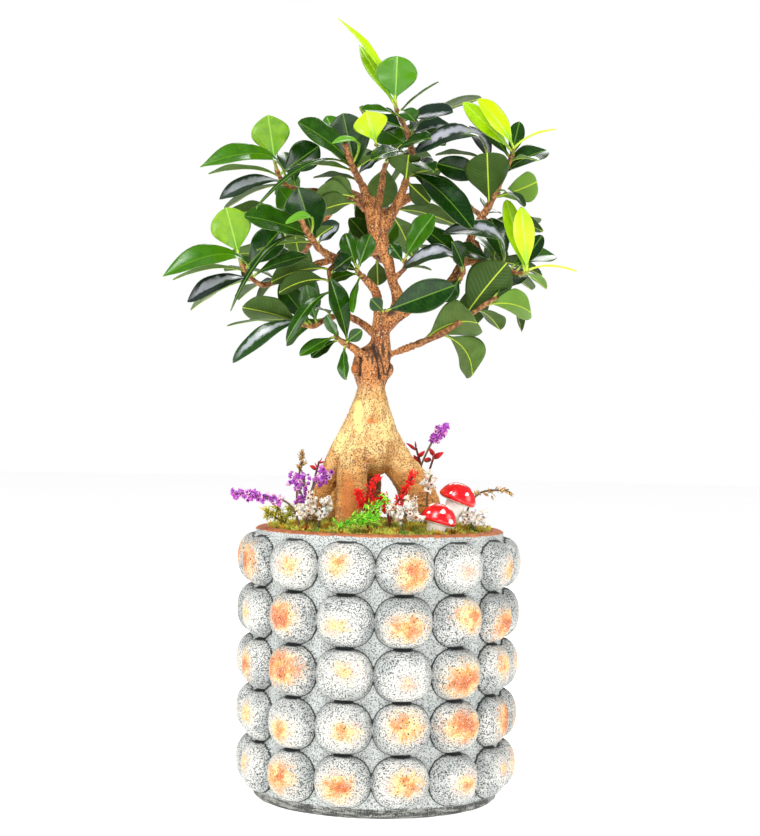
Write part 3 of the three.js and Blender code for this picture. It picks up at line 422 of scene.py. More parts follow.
def tube(path: np.ndarray, radii: np.ndarray, sides: int, **values: float) -> Patch:
    """A round limb: a circle of each radius, carried along the path.

    Args:
        path: The middle line in metres, n by 3.
        radii: The radius at each point.
        sides: How many sides the limb has.
        values: Named values for its points.

    Returns:
        The closed patch, with the share of the way along it as the value along.
    """
    _, across, other = ring_frame(path)
    angle = np.arange(sides) * 2 * math.pi / sides
    spokes = across[:, None] * np.cos(angle)[None, :, None] + other[:, None] * np.sin(angle)[None, :, None]
    grid = path[:, None] + radii[:, None, None] * spokes
    along = np.broadcast_to(np.linspace(0, 1, len(path))[:, None], grid.shape[:2])
    return capped_grid(grid, along=along).tagged(**values)


def turned(profile: np.ndarray, sides: int) -> np.ndarray:
    """A profile turned about the upright axis.

    Args:
        profile: Radius and height, n by 2.
        sides: How many points go round.

    Returns:
        A ring of points for each row of the profile, n by sides by 3.
    """
    angle = np.arange(sides) * 2 * math.pi / sides
    radius, height = profile[:, 0][:, None], profile[:, 1][:, None]
    return np.stack([radius * np.cos(angle), radius * np.sin(angle),
                     np.broadcast_to(height, (len(profile), sides))], axis=-1)


def scattered(template: Patch, places: np.ndarray, headings: np.ndarray, sizes: np.ndarray,
              turns: np.ndarray, **values: np.ndarray) -> Patch:
    """Copies of a small shape.

    Args:
        template: The shape, standing at the origin along +Z.
        places: Where each copy stands, n by 3.
        headings: The direction that each copy points in, n by 3.
        sizes: How large each copy is.
        turns: How far each copy is turned about its heading.
        values: One number for each copy, by name.

    Returns:
        One patch of all the copies. A copy's point is its place plus the template's point, measured
        along two directions square to the heading and along the heading itself.
    """
    ahead = unit(headings)
    across = unit(np.cross(ahead, SLANT))
    other = np.cross(ahead, across)
    cos, sin = np.cos(turns)[:, None], np.sin(turns)[:, None]
    axes = np.stack([across * cos + other * sin, other * cos - across * sin, ahead], axis=1)
    points = places[:, None] + np.einsum("vk,nkj->nvj", template.points, axes) * sizes[:, None, None]
    count, width = len(places), len(template.points)
    offsets = (np.arange(count) * width)[:, None, None]
    faces = [(group[None] + offsets).reshape(-1, group.shape[1]) for group in template.faces]
    tags = {name: np.tile(value, count) for name, value in template.values.items()}
    tags.update({name: np.repeat(value, width) for name, value in values.items()})
    return Patch(points.reshape(-1, 3), faces, tags)


def make_mesh(name: str, patch: Patch) -> bpy.types.Mesh:
    """A smooth-shaded mesh.

    Args:
        name: The mesh's name.
        patch: Its surface.

    Returns:
        The mesh, with the patch's values as attributes of its points.
    """
    mesh = bpy.data.meshes.new(name)
    mesh.vertices.add(len(patch.points))
    mesh.vertices.foreach_set("co", patch.points.astype(np.float32).ravel())
    corners = np.concatenate([group.ravel() for group in patch.faces])
    widths = np.concatenate([np.full(len(group), group.shape[1]) for group in patch.faces])
    mesh.loops.add(len(corners))
    mesh.loops.foreach_set("vertex_index", corners.astype(np.int32))
    mesh.polygons.add(len(widths))
    starts = np.concatenate([[0], np.cumsum(widths)[:-1]])
    mesh.polygons.foreach_set("loop_start", starts.astype(np.int32))
    mesh.polygons.foreach_set("use_smooth", np.ones(len(widths), bool))
    mesh.update(calc_edges=True)
    for key, value in patch.values.items():
        mesh.attributes.new(key, "FLOAT", "POINT").data.foreach_set("value", value.astype(np.float32))
    return mesh


def add_piece(name: str, patch: Patch, material: bpy.types.Material, plain: str) -> None:
    """Adds a finished piece to the plant.

    Args:
        name: The piece's name.
        patch: Its surface.
        material: Its finish.
        plain: The plain part that it stands for.
    """
    piece = bpy.data.objects.new(name, make_mesh(name, patch))
    bpy.context.scene.collection.objects.link(piece)
    piece.data.materials.append(material)
    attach(piece, BODY)
    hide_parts(plain)
    faces = sum(len(group) * (group.shape[1] - 2) for group in patch.faces)
    LOG.info("%s: %d triangles", name, faces)


class ValueNoise:
    """Smooth noise in space: random numbers on a lattice, blended between its eight nearest points."""

    SIZE = 48
    ORIGIN = 1000.0

    def __init__(self, seed: int) -> None:
        """Fills the lattice from a seed."""
        self.lattice = np.random.default_rng(seed).uniform(-1, 1, (self.SIZE,) * 3)

    def __call__(self, points: np.ndarray, size: float | tuple[float, float, float]) -> np.ndarray:
        """Reads the noise.

        Args:
            points: Where it is read, n by 3.
            size: The lattice's step, one for all axes or one for each.

        Returns:
            A number from -1 to 1 at each point.
        """
        place = points / np.asarray(size) + self.ORIGIN
        whole = np.floor(place).astype(int)
        part = place - whole
        part = part * part * (3 - 2 * part)
        total = np.zeros(len(points))
        for corner in np.ndindex(2, 2, 2):
            index = (whole + corner) % self.SIZE
            weight = np.prod(np.where(np.array(corner), part, 1 - part), axis=1)
            total += weight * self.lattice[index[:, 0], index[:, 1], index[:, 2]]
        return total


# The pot

class SpeckledGlaze:
    """Pale speckled glaze in the hollows, worn to orange and cream clay on the crowns."""

    def material(self) -> bpy.types.Material:
        """The material, which reads where on a bubble a point is from the pot's named values.

        Returns:
            The pot's material.
        """
        s = Shader("speckled_glaze")
        grown, crown, luck, z = s.value("grown"), s.value("crown"), s.value("luck"), s.height()
        grain, ragged, cloud = s.noise(0.8, 2.0, 0.6), s.noise(4.0, 4.0, 0.65), s.noise(17.0, 2.0)
        fine, warm = s.noise(0.8, 1.0, place=s.stretched(1.0, 1.0, -1.0)), s.noise(8.0, 3.0, 0.6)
        coarse, torn, dust = grain - 0.5, ragged - 0.5, fine - 0.5
        bare = (crown + torn * 0.5).step(-0.15, 0.65)
        dots = (grain + bare * 0.03).step(0.490, 0.445) * (0.92 - bare * 0.25)
        # The glaze greys to 9ea3a1 towards each bubble's edge as the value grown falls: painted shade.
        glaze = s.coated(
            s.mix((cloud + dust * 0.5).step(0.36, 0.64), "aeb2b0", "d8d8d3"),
            (bare * 0.7, "e8e6df"), (grown.step(0.35, 0.02) * 0.35, "9ea3a1"), (dots, "343b3a"))
        heat = crown + (warm - 0.5) * 2.2 + (luck - 0.5) * 0.8
        clay = s.coated(
            s.mix((heat + dust * 0.9).step(0.25, 0.6), "e8a88c", "f4d68c"),
            ((heat + coarse * 1.5).step(0.60, 0.92), "e88c38"),
            ((heat + dust * 1.2).step(0.9, 1.25) * 0.9, "b8540e"),
            (fine.step(0.58, 0.63) * 0.5, "fdf3e2"), (fine.step(0.41, 0.37) * 0.5, "8a5c40"))
        worn = crown * 1.1 + coarse * 1.6 + torn + (luck - 0.5) * 0.5
        pits = (s.cells(2.4) + dust * 0.3).step(0.22, 0.14) * 0.85
        wall = s.mix((fine * 0.4 + grain * 0.6).step(0.495, 0.445) * 0.8, "c9cdca", "4a5250")
        line = grown.step(-0.05, -0.015) * (grown + torn * 0.06).step(0.05, 0.02)
        line = line.math("MAXIMUM", line, (s.value("seam") + dust * 0.4).step(0.35, 0.6))
        lip = s.mix(ragged.step(0.4, 0.62), "a85a30", "c87c4c")
        lip = s.mix(grain.step(0.44, 0.38) * 0.6, lip, "5f3a26")
        scuffs = s.noise(5.0, 4.0, 0.7, place=s.stretched(0.35, 0.35, 2.0))
        base = s.mix((scuffs + coarse * 0.4).step(0.44, 0.60), "242421", "989890")
        skin = s.coated(
            glaze, (worn.step(0.30, 0.82) * 0.95, clay), (pits, "1f2423"), (grown.step(0.03, -0.03), wall),
            (line * 0.95, "1d2422"), ((z + torn * 2.4 + coarse * 1.5).step(158.3, 158.8), lip),
            ((z + torn * 3.0).step(6.4, 5.0) * 0.9, base))
        relief = grain * 0.5 + fine * 0.3 - pits * 0.3
        return s.finish(skin, 0.80 + coarse * 0.2, relief, 0.45)


@dataclass
class Pot:
    """The cast pot: rows of raised bubbles round a slightly flaring body, with a plain lip and foot.

    Attributes:
        height: How tall it is, in metres as all lengths here.
        foot_radius: The radius of the flat it stands on.
        body_low: The body's radius at the foot.
        body_high: The body's radius at the lip.
        base_band: The plain band under the bubbles.
        lip_band: The plain lip over them.
        lip_radius: The lip's outer radius.
        mouth_radius: The inner radius at the mouth.
        floor_radius: The inner radius at the floor.
        floor_height: How high the floor is.
        rise: How far a bubble stands out.
        squareness: The power that makes a bubble's outline a rounded square.
        steepness: The power of its side.
        rows: How many rows of bubbles there are.
        around: How many bubbles a row has.
        first_groove: The angle of the groove before the first of them.
        columns: How many points there are across a bubble.
        levels: How many up it.
        crowding: How much closer together those are near its edges.
        edge: How near to its edge the outermost of them are.
        wander: How far a worn patch may lie off the bubble's middle.
        worn: The least and the greatest size of such a patch.
        seam: The half height and half width of the dark seam between two rows.
    """

    height: float = 0.160
    foot_radius: float = 0.070
    body_low: float = 0.0725
    body_high: float = 0.074
    base_band: float = 0.006
    lip_band: float = 0.004
    lip_radius: float = 0.0735
    mouth_radius: float = 0.0665
    floor_radius: float = 0.062
    floor_height: float = 0.008
    rise: float = 0.011
    squareness: float = 2.4
    steepness: float = 0.5
    rows: int = 5
    around: int = 14
    first_groove: float = math.radians(-1.5)
    columns: int = 28
    levels: int = 21
    crowding: float = 0.35
    edge: float = 0.995
    wander: float = 0.22
    worn: tuple[float, float] = (0.75, 1.0)
    seam: tuple[float, float] = (0.085, 0.42)

    def wall(self, z: np.ndarray | float) -> np.ndarray | float:
        """The body's radius at a height."""
        return self.body_low + (self.body_high - self.body_low) * z / self.height

    def inner(self, z: float) -> float:
        """The inside's radius at a height."""
        share = (z - self.floor_height) / (self.height - self.floor_height)
        return self.floor_radius + (self.mouth_radius - self.floor_radius) * share

    def crowded(self, share: np.ndarray) -> np.ndarray:
        """Numbers from -1 to 1, drawn towards both ends by a sine."""
        return np.sin(share * math.pi / 2) * self.crowding + share * (1 - self.crowding)

    def foot_profile(self) -> np.ndarray:
        """Radius and height from the flat foot up to the band under the bubbles."""
        return np.array([(self.foot_radius, 0.0), (self.foot_radius + 0.0012, 0.0006),
                         (self.body_low, 0.0018), (self.body_low, self.base_band * 0.9)])

    def lip_profile(self) -> np.ndarray:
        """Radius and height over the rounded lip and down the inside to the floor."""
        lip, top = self.lip_radius, self.height
        return np.array([
            (self.body_high, top - self.lip_band * 0.95), (lip + 0.0008, top - self.lip_band * 0.7),
            (lip + 0.0006, top - self.lip_band * 0.3), (lip - 0.0004, top - 0.0005), (lip - 0.0016, top),
            (self.mouth_radius + 0.0012, top), (self.mouth_radius, top - 0.001),
            (self.inner(0.148), 0.148), (self.inner(0.06), 0.06), (self.floor_radius, self.floor_height)])

    def body(self) -> Patch:
        """The whole pot.

        Returns:
            One closed skin. Round each bubble u and v run from -1 to 1, closer together near its edges;
            it stands out by rise times (1 - |u|^squareness - |v|^squareness)^steepness. The value
            crown is 1 in the middle of its worn patch and falls to its edges, grown is how far inside its
            outline a point is, seam is 1 where two rows meet, and luck is one number a bubble.
        """
        random = np.random.default_rng(SEED)
        bubble = np.repeat(np.arange(self.around), self.columns)
        row = np.repeat(np.arange(self.rows), self.levels)
        u = np.tile(self.crowded((np.arange(self.columns) + 0.5) / self.columns * 2 - 1), self.around)[None]
        v_one = self.crowded(np.linspace(-1, 1, self.levels))
        v_one[[0, -1]] = -self.edge, self.edge
        v = np.tile(v_one, self.rows)[:, None]
        angle = self.first_groove + (bubble + 0.5 + u / 2) * 2 * math.pi / self.around
        pitch = (self.height - self.base_band - self.lip_band) / self.rows
        z = self.base_band + (row[:, None] + 0.5 + v / 2) * pitch
        inside = 1 - np.abs(u) ** self.squareness - np.abs(v) ** self.squareness
        stand = self.rise * np.maximum(inside, 0) ** self.steepness
        shift_x, shift_z = random.uniform(-self.wander, self.wander, (2, self.rows, self.around))
        size_x, size_z = random.uniform(*self.worn, (2, self.rows, self.around))
        luck = random.uniform(0, 1, (self.rows, self.around))
        at = (row[:, None], bubble[None])
        crown = 1 - np.hypot((u - shift_x[at]) / size_x[at], (v - shift_z[at]) / size_z[at])
        seam = np.exp(-((1 - np.abs(v)) / self.seam[0]) ** 2)
        seam = seam * np.clip(1 - (np.abs(u) / self.seam[1]) ** 4, 0, 1)
        foot, lip = self.foot_profile(), self.lip_profile()

        def whole(below: np.ndarray | float, middle: np.ndarray, above: np.ndarray | float) -> np.ndarray:
            """Rows of the bubbles between the foot's rows and the lip's, which are one number a row."""
            width = u.shape[1]
            ends = [np.tile(np.broadcast_to(number, len(rows))[:, None], width)
                    for number, rows in ((below, foot), (above, lip))]
            return np.concatenate([ends[0], np.broadcast_to(middle, (len(z), width)), ends[1]])

        radius = whole(foot[:, 0], self.wall(z) + stand, lip[:, 0])
        height = whole(foot[:, 1], z, lip[:, 1])
        grid = np.stack([radius * np.sin(angle), -radius * np.cos(angle), height], axis=-1)
        return capped_grid(grid, grown=whole(-1.0, inside, -1.0), crown=whole(-1.0, crown, -1.0),
                           seam=whole(0.0, seam, 0.0), luck=whole(0.5, luck[at], 0.5))

    def build(self) -> None:
        """Adds the pot."""
        add_piece("pot_glazed", self.body(), SpeckledGlaze().material(), "pot")


# Soil and moss

class DriedMoss:
    """Dried moss, in clumps."""

    def material(self) -> bpy.types.Material:
        """The material, darker where the value clump is low.

        Returns:
            The moss's material.
        """
        s = Shader("dried_moss")
        patches = [s.noise(size, 2.0, place=s.stretched(*stretch)) for size, stretch in (
            (7.0, (1.0, 1.0, 0.2)), (9.0, (1.0, -1.0, 0.3)), (12.0, (-1.0, 1.0, 0.2)))]
        tone = s.coated(
            s.mix(s.noise(11.0, 3.0, 0.6).step(0.40, 0.52), "a8b236", "e2e65c"),
            (patches[0].step(0.52, 0.58), "e8bc34"), (patches[1].step(0.60, 0.66), "c46a20"),
            (patches[2].step(0.58, 0.66), "5c9a2c"), ((1.0 - s.value("clump")) * 0.5, "4a4416"))
        return s.finish(tone, 0.9, s.noise(0.9), 0.4)


class PottingMix:
    """Crumbly potting mix."""

    def material(self) -> bpy.types.Material:
        """The soil's material."""
        s = Shader("potting_mix")
        return s.finish(s.mix(s.noise(1.5, 4.0, 0.7), "1d130c", "5a4330"), 0.95, s.cells(2.2), 0.8)


@dataclass
class Filling:
    """What fills the pot: dark potting mix, and the moss cushion over it.

    Attributes:
        edge_height: The moss's height at the wall, in millimetres as all lengths here.
        crown: How much higher its middle is.
        clump: How high its clumps swell.
        mouth: The pot's mouth, where the cushion ends.
        rim: The cushion's radius.
        low: The height of its underside.
        shoulder: How far below its edge its rounding starts.
        sides: How many points go round it.
        rings: How many rings its top has.
        lumps: The size and the height of its coarse and its fine roughness.
        tufts: How many little blades stand on it.
        blade: A blade's least and greatest height.
        scatter: How widely the blades lean.
    """

    edge_height: float = 159.0
    crown: float = 4.0
    clump: float = 1.5
    mouth: float = 66.5
    rim: float = 65.75
    low: float = 149.3
    shoulder: float = 3.0
    sides: int = 180
    rings: int = 60
    lumps: tuple[tuple[float, float], ...] = ((1.9, 0.9), (4.5, 1.1))
    tufts: int = 14600
    blade: tuple[float, float] = (1.6, 4.0)
    scatter: float = 0.75

    def height(self, x: np.ndarray, y: np.ndarray) -> np.ndarray:
        """The cushion's height: a dome with the clumps of crossed waves.

        Args:
            x: Places across.
            y: Places in depth.

        Returns:
            The height there.
        """
        share = np.minimum(np.hypot(x, y) / self.mouth, 1)
        clumps = np.sin(x / 5.1 + 0.7) * np.cos(y / 4.6) + 0.6 * np.sin((x + y) / 3.3 + 1.9)
        return self.edge_height + self.crown * (1 - share ** 2) + self.clump * clumps

    def cushion(self) -> Patch:
        """The cushion's skin.

        Returns:
            Rings from its underside over its shoulder to the middle, its top roughened by noise.
        """
        angle = np.arange(self.sides) * 2 * math.pi / self.sides
        radii = np.concatenate([[0.4, 1.0, 1.0], np.linspace(0.985, 0.02, self.rings)]) * self.rim
        x, y = radii[:, None] * np.cos(angle), radii[:, None] * np.sin(angle)
        z = self.height(x, y)
        z[:2], z[2] = self.low, self.edge_height - self.shoulder
        points = np.stack([x, y, z], axis=-1)
        noise, top = ValueNoise(SEED), points[3:].copy()
        rough = sum(noise(top.reshape(-1, 3), size) * height for size, height in self.lumps)
        points[3:, :, 2] += rough.reshape(top.shape[:2]) - 0.6
        return capped_grid(points * MM, clump=np.zeros(points.shape[:2]))

    def blades(self) -> Patch:
        """Little three-sided blades all over the cushion, leaning every way, and outwards at the rim.

        Returns:
            The blades, each a tapering bent spike with the value clump by chance.
        """
        random = np.random.default_rng(SEED + 1)
        radius = self.rim * np.sqrt(random.uniform(0.05, 1.0, self.tufts))
        angle = random.uniform(0, 2 * math.pi, self.tufts)
        out = np.stack([np.cos(angle), np.sin(angle)], axis=-1)
        x, y = radius * out[:, 0], radius * out[:, 1]
        places = np.stack([x, y, self.height(x, y) - 1.0], axis=-1) * MM
        lean = random.normal(0, self.scatter, (self.tufts, 3)) + (0, 0, 1.1)
        lean[:, :2] += out * (radius > self.rim - 4)[:, None] * 0.4
        spike = capped_grid(turned(np.array([(0.2, 0.0), (0.14, 0.55)]), 3) + [[[0, 0, 0]], [[0.1, 0, 0]]])
        spike.points[-1] = (0.28, 0.0, 1.0)
        size = random.uniform(*self.blade, self.tufts) * MM
        return scattered(spike, places, lean, size, random.uniform(0, LAP, self.tufts),
                         clump=random.uniform(0.2, 1, self.tufts))

    def build(self) -> None:
        """Dresses the soil and adds the moss."""
        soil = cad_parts["soil"]
        soil.data.materials.clear()
        soil.data.materials.append(PottingMix().material())
        moss = joined([self.cushion(), self.blades()])
        add_piece("moss_cushion", moss, DriedMoss().material(), "moss")


# The wood

class FicusBark:
    """Golden tan roots with dark specks, red-brown above the neck with pale pores."""

    def material(self) -> bpy.types.Material:
        """The material, which reads the marks and the hollows from the wood's named values.

        Returns:
            The bark's material.
        """
        s = Shader("ficus_bark")
        z, hollow = s.height(), s.value("hollow")
        pale, amber, shade = s.value("pale"), s.value("amber"), s.value("shade")
        cloud, grain, speck = s.noise(9.0, 4.0, 0.6), s.noise(1.0, 2.0, 0.6), s.cells(1.7)
        wavy, coarse = cloud - 0.5, grain - 0.5
        streak = s.noise(2.6, 4.0, 0.7, place=s.stretched(1.0, 1.0, 0.16))
        level = s.noise(2.4, 4.0, 0.7, place=s.stretched(0.22, 0.22, 1.3))
        leg = s.mix(level.step(0.38, 0.60), "c07c36", "e8a654")
        leg = s.mix(level.step(0.42, 0.37) * 0.35, leg, "7a4820")
        root = s.coated(
            s.mix((cloud + coarse * 0.6).step(0.34, 0.60), "d09a56", "f4ce8a"),
            (s.noise(18.0, 2.0).step(0.53, 0.64) * 0.75, "f8e094"),
            (streak.step(0.52, 0.64) * z.step(188.0, 215.0) * 0.6, "8c5a2a"),
            ((z + wavy * 18.0).step(204.0, 192.0) * 0.9, leg),
            ((grain + (s.noise(7.0) - 0.5) * 0.4).step(0.46, 0.40) * 0.75, "7c4c22"),
            ((speck + coarse * 0.3).step(0.22, 0.13) * 0.85, "4a2c14"))
        branch = s.coated(
            s.mix((cloud + coarse * 1.4).step(0.34, 0.66), "8a4818", "d68e4c"),
            (streak.step(0.52, 0.62) * 0.7, "5a2c14"),
            ((speck + wavy * 0.5).step(0.31, 0.17) * 0.6, "f2d6a4"),
            ((grain + (s.noise(5.0) - 0.5) * 0.3).step(0.43, 0.37) * 0.8, "3c1e0c"))
        change = (z + wavy * 22.0).step(236.0, 250.0)
        stipple = s.noise(0.9, 2.0, 0.7, place=s.stretched(1.0, -1.0, 0.8))
        tone = s.coated(
            s.mix(change, root, branch), ((amber + coarse * 1.0).step(0.20, 0.70) * 0.8, "cc7226"),
            ((pale + wavy * 1.0).step(0.35, 0.7) * 0.85, "fbe88c"),
            # Dark brown stipple where the shade marks lie, in the fold under the bulb, down the front leg's
            # edges and in the gap among the legs: painted shade.
            ((stipple - shade * 0.14).step(0.39, 0.33) * 0.85, "4e2c12"),
            # Near-black brown in the depths of the relief, from the neck up: painted shade.
            ((hollow + coarse * 0.9).step(0.60, 0.95) * change * 0.9, "2c160a"),
            ((z + wavy * 8.0).step(168.0, 160.0) * 0.6, "4a3018"))
        return s.finish(tone, 0.66 - cloud * 0.1, streak * 0.5 + level * 0.4 + grain * 0.5, 0.9)


def read_values(items: bpy.types.bpy_prop_collection, name: str, width: int, kind: type) -> np.ndarray:
    """Reads a property of all the points or corners of a mesh.

    Args:
        items: The points or corners.
        name: The property's name.
        width: How many numbers each of them has.
        kind: What the numbers are.

    Returns:
        The numbers, n by width.
    """
    values = np.empty(len(items) * width, kind)
    items.foreach_get(name, values)
    return values.reshape(-1, width)


@dataclass
class Wood:
    """Root, trunk and branches, grown together.

    Attributes:
        voxel: The mesh width that the limbs are fused at, in metres.
        smoothing: The strength of the smoothing after that, and how often it is done.
        sides: How many sides a limb has before that.
        steps: How many rings it has between two stations.
        slimmest: The least radius, in millimetres.
        neck: The height of the neck's middle and half its height.
        change: The height where the root's bark gives way, and how softly.
        fading: The height where the relief is gone, over how much it fades, and its least share.
        flutes: The size of the upright flutes, in metres, as the next three.
        wrinkles: The size of the level wrinkles.
        grain: The size of the grain.
        lumps: The size of the lumps.
        gap: The shaded gap among the legs: its middle across and in depth, half its width and depth,
            its top and how softly that ends.
        rough: The noise of the bark.
    """

    voxel: float = 0.00085
    smoothing: tuple[float, int] = (0.5, 6)
    sides: int = 20
    steps: int = 7
    slimmest: float = 0.9
    neck: tuple[float, float] = (262, 13)
    change: tuple[float, float] = (250, 3)
    fading: tuple[float, float, float] = (440, 40, 0.2)
    flutes: tuple[float, float, float] = (0.0032, 0.0032, 0.022)
    wrinkles: tuple[float, float, float] = (0.012, 0.012, 0.0014)
    grain: float = 0.0013
    lumps: float = 0.008
    gap: tuple[float, ...] = (-6, 8, 9, 12, 205, 6)
    rough: ValueNoise = field(default_factory=lambda: ValueNoise(SEED + 2))

    def limb(self, stations: Sequence[Sequence[float]]) -> Patch:
        """A limb.

        Args:
            stations: Its x, z, depth and radius from foot to end.

        Returns:
            A tube along them.
        """
        rows = np.asarray(stations, float)
        path = smooth_path(np.column_stack([on_sight(rows), rows[:, 3] * MM]), self.steps)
        return tube(path[:, :3], np.maximum(path[:, 3], self.slimmest * MM), self.sides)

    def fused(self) -> tuple[np.ndarray, np.ndarray, np.ndarray]:
        """All limbs fused to one skin.

        Returns:
            Its points, its points' normals, and its quads, after a voxel remesh and some smoothing.
        """
        limbs = [self.limb(stations) for table in (ROOTS, TRUNK, LIMBS) for stations in table.values()]
        mesh = make_mesh("limbs", joined(limbs))
        rough = bpy.data.objects.new("limbs", mesh)
        bpy.context.scene.collection.objects.link(rough)
        remesh = rough.modifiers.new("fuse", "REMESH")
        remesh.mode, remesh.voxel_size = "VOXEL", self.voxel
        smooth = rough.modifiers.new("smooth", "SMOOTH")
        smooth.factor, smooth.iterations = self.smoothing
        fused = bpy.data.meshes.new_from_object(rough.evaluated_get(bpy.context.evaluated_depsgraph_get()))
        points = read_values(fused.vertices, "co", 3, np.float32).astype(float)
        normals = read_values(fused.vertices, "normal", 3, np.float32).astype(float)
        quads = read_values(fused.loops, "vertex_index", 1, np.int32).reshape(-1, 4)
        bpy.data.objects.remove(rough)
        bpy.data.meshes.remove(mesh)
        bpy.data.meshes.remove(fused)
        return points, normals, quads

    def dent(self, points: np.ndarray, place: Sequence[float], width: float, depth: float) -> np.ndarray:
        """A round hollow.

        Args:
            points: Places on the skin.
            place: Its middle, as x, z and depth.
            width: Where it has fallen to a third, in millimetres.
            depth: How deep it is, negative for a swelling.

        Returns:
            How far it moves each place outwards.
        """
        distance = np.linalg.norm(points - on_sight(place), axis=1)
        return -depth * MM * np.exp(-(distance / (width * MM)) ** 2)

    def crevice(self, points: np.ndarray, line: list[tuple[float, float]], width: float,
                depth: float) -> np.ndarray:
        """A groove in the front.

        Args:
            points: Places on the skin.
            line: The x and z that it runs through.
            width: Where it has fallen to a third, in millimetres.
            depth: How deep it is.

        Returns:
            How far it moves each place outwards, by the distance from the nearest stretch of the line.
        """
        flat, stops = points[:, [0, 2]] / MM, np.array(line, float)
        near = np.full(len(points), np.inf)
        for start, step in zip(stops[:-1], np.diff(stops, axis=0)):
            share = np.clip((flat - start) @ step / (step @ step), 0, 1)
            near = np.minimum(near, np.linalg.norm(flat - start - share[:, None] * step, axis=1))
        return -depth * MM * np.exp(-(near / width) ** 2) * (points[:, 1] < 0)

    def marks(self, points: np.ndarray) -> dict[str, np.ndarray]:
        """How strongly each kind of mark lies on the front: pale and amber colour, and painted shade.

        Args:
            points: Places on the skin.

        Returns:
            A number from 0 to 1 for each of them by kind, and up to 2 for the shaded gap among the legs.
        """
        x, y, z = points.T / MM
        marks = {}
        for kind, spots in MARKS.items():
            near = [np.exp(-((x - a) / w) ** 2 - ((z - b) / h) ** 2) for a, b, w, h in spots]
            marks[kind] = np.max(near, axis=0) * (y < 0)
        across, back, width, depth, top, soft = self.gap
        inside = np.exp(-((x - across) / width) ** 2 - ((y - back) / depth) ** 2)
        inside *= np.clip((top - z) / soft, 0, 1)
        marks["shade"] = np.maximum(marks["shade"] * 0.8, inside * 2.0)
        return marks

    def relief(self, points: np.ndarray) -> np.ndarray:
        """How far the bark stands out at points.

        Args:
            points: Places on the fused skin.

        Returns:
            The sum of upright flutes, level wrinkles on the roots, small grain and the named hollows.
        """
        z = points[:, 2] / MM
        root = 1 / (1 + np.exp((z - self.change[0]) / self.change[1]))
        neck = np.exp(-((z - self.neck[0]) / self.neck[1]) ** 2)
        crown = 1 - root
        flutes, wrinkles = self.rough(points, self.flutes), self.rough(points, self.wrinkles)
        grain, lumps = self.rough(points, self.grain), self.rough(points, self.lumps)
        slots = np.clip(-flutes - 0.18, 0, 1)
        height = root * (0.38 * flutes + 0.2 * wrinkles + 0.12 * grain + 0.5 * lumps)
        height += neck * (0.7 * flutes - 0.6 * slots) + crown * (0.3 * lumps + 0.2 * grain - 0.4 * slots)
        top, soft, least = self.fading
        height *= MM * np.clip((top - z) / soft, least, 1)
        for place, width, depth in HOLLOWS:
            height += self.dent(points, place, width, depth)
        for line, width, depth in CREVICES:
            height += self.crevice(points, line, width, depth)
        return height

    def build(self) -> None:
        """Adds the wood, with the value hollow from 0 on the heights of its relief to 1 in its depths."""
        points, normals, quads = self.fused()
        height = self.relief(points)
        skin = Patch(points + normals * height[:, None], [quads])
        skin.tagged(hollow=np.clip(0.5 - height / (1.6 * MM), 0, 1), **self.marks(points))
        add_piece("grown_wood", skin, FicusBark().material(), "wood")


# Leafy sprays

@dataclass(frozen=True)
class Spray:
    """A leafy twig.

    Attributes:
        name: Its node.
        start: The limb or twig that it goes on from.
        twigs: Stations of x, z, depth and radius for each of its twigs.
        leaves: A row for each leaf: place on the twigs, tip x, z and depth, width, side, bow.
        young: Whether its leaves are fresh ones.
    """

    name: str
    start: str
    twigs: list[list[list[float]]]
    leaves: list[list]
    young: bool = False


@dataclass(frozen=True)
class BackSpray:
    """A twig of the far side, whose leaves follow one rule round it.

    Attributes:
        name: Its node.
        start: The limb that it goes on from.
        turn: The angle of its first leaf.
        twigs: Stations of its one twig.
        young: Whether its leaves are fresh ones, which none of these have.
    """

    name: str
    start: str
    turn: float
    twigs: list[list[list[float]]]
    young: bool = False


@dataclass(frozen=True)
class Leaf:
    """One leaf.

    Attributes:
        base: Where it starts.
        tip: Where it ends.
        width: How broad it is, in metres.
        face: The way its upper face looks.
        bow: How far it bows up, as a share of its length.
        tone: How light it is.
        silver: 1 where its faces carry a painted reflection, a silvery band, otherwise 0.
        point: How sharp its tip is.
        skew: The power that puts the bow's top nearer the base.
    """

    base: np.ndarray
    tip: np.ndarray
    width: float
    face: np.ndarray
    bow: float
    tone: float
    silver: float
    point: float
    skew: float = 0.75

    @property
    def length(self) -> float:
        """How long it is."""
        return float(np.linalg.norm(self.tip - self.base))

    @property
    def normal(self) -> np.ndarray:
        """The way its middle looks, square to its length."""
        ahead = (self.tip - self.base) / self.length
        return unit(self.face - ahead * (self.face @ ahead))

    def spine(self, share: np.ndarray) -> np.ndarray:
        """Points of its spine.

        Args:
            share: How far along they are.

        Returns:
            The points, lifted off the straight line by 4 bow L s (1 - s), with s the share to the
            power skew.
        """
        s = np.clip(share, 0, 1) ** self.skew
        lift = 4 * self.bow * self.length * s * (1 - s)
        return self.base + (self.tip - self.base) * share[:, None] + self.normal * lift[:, None]


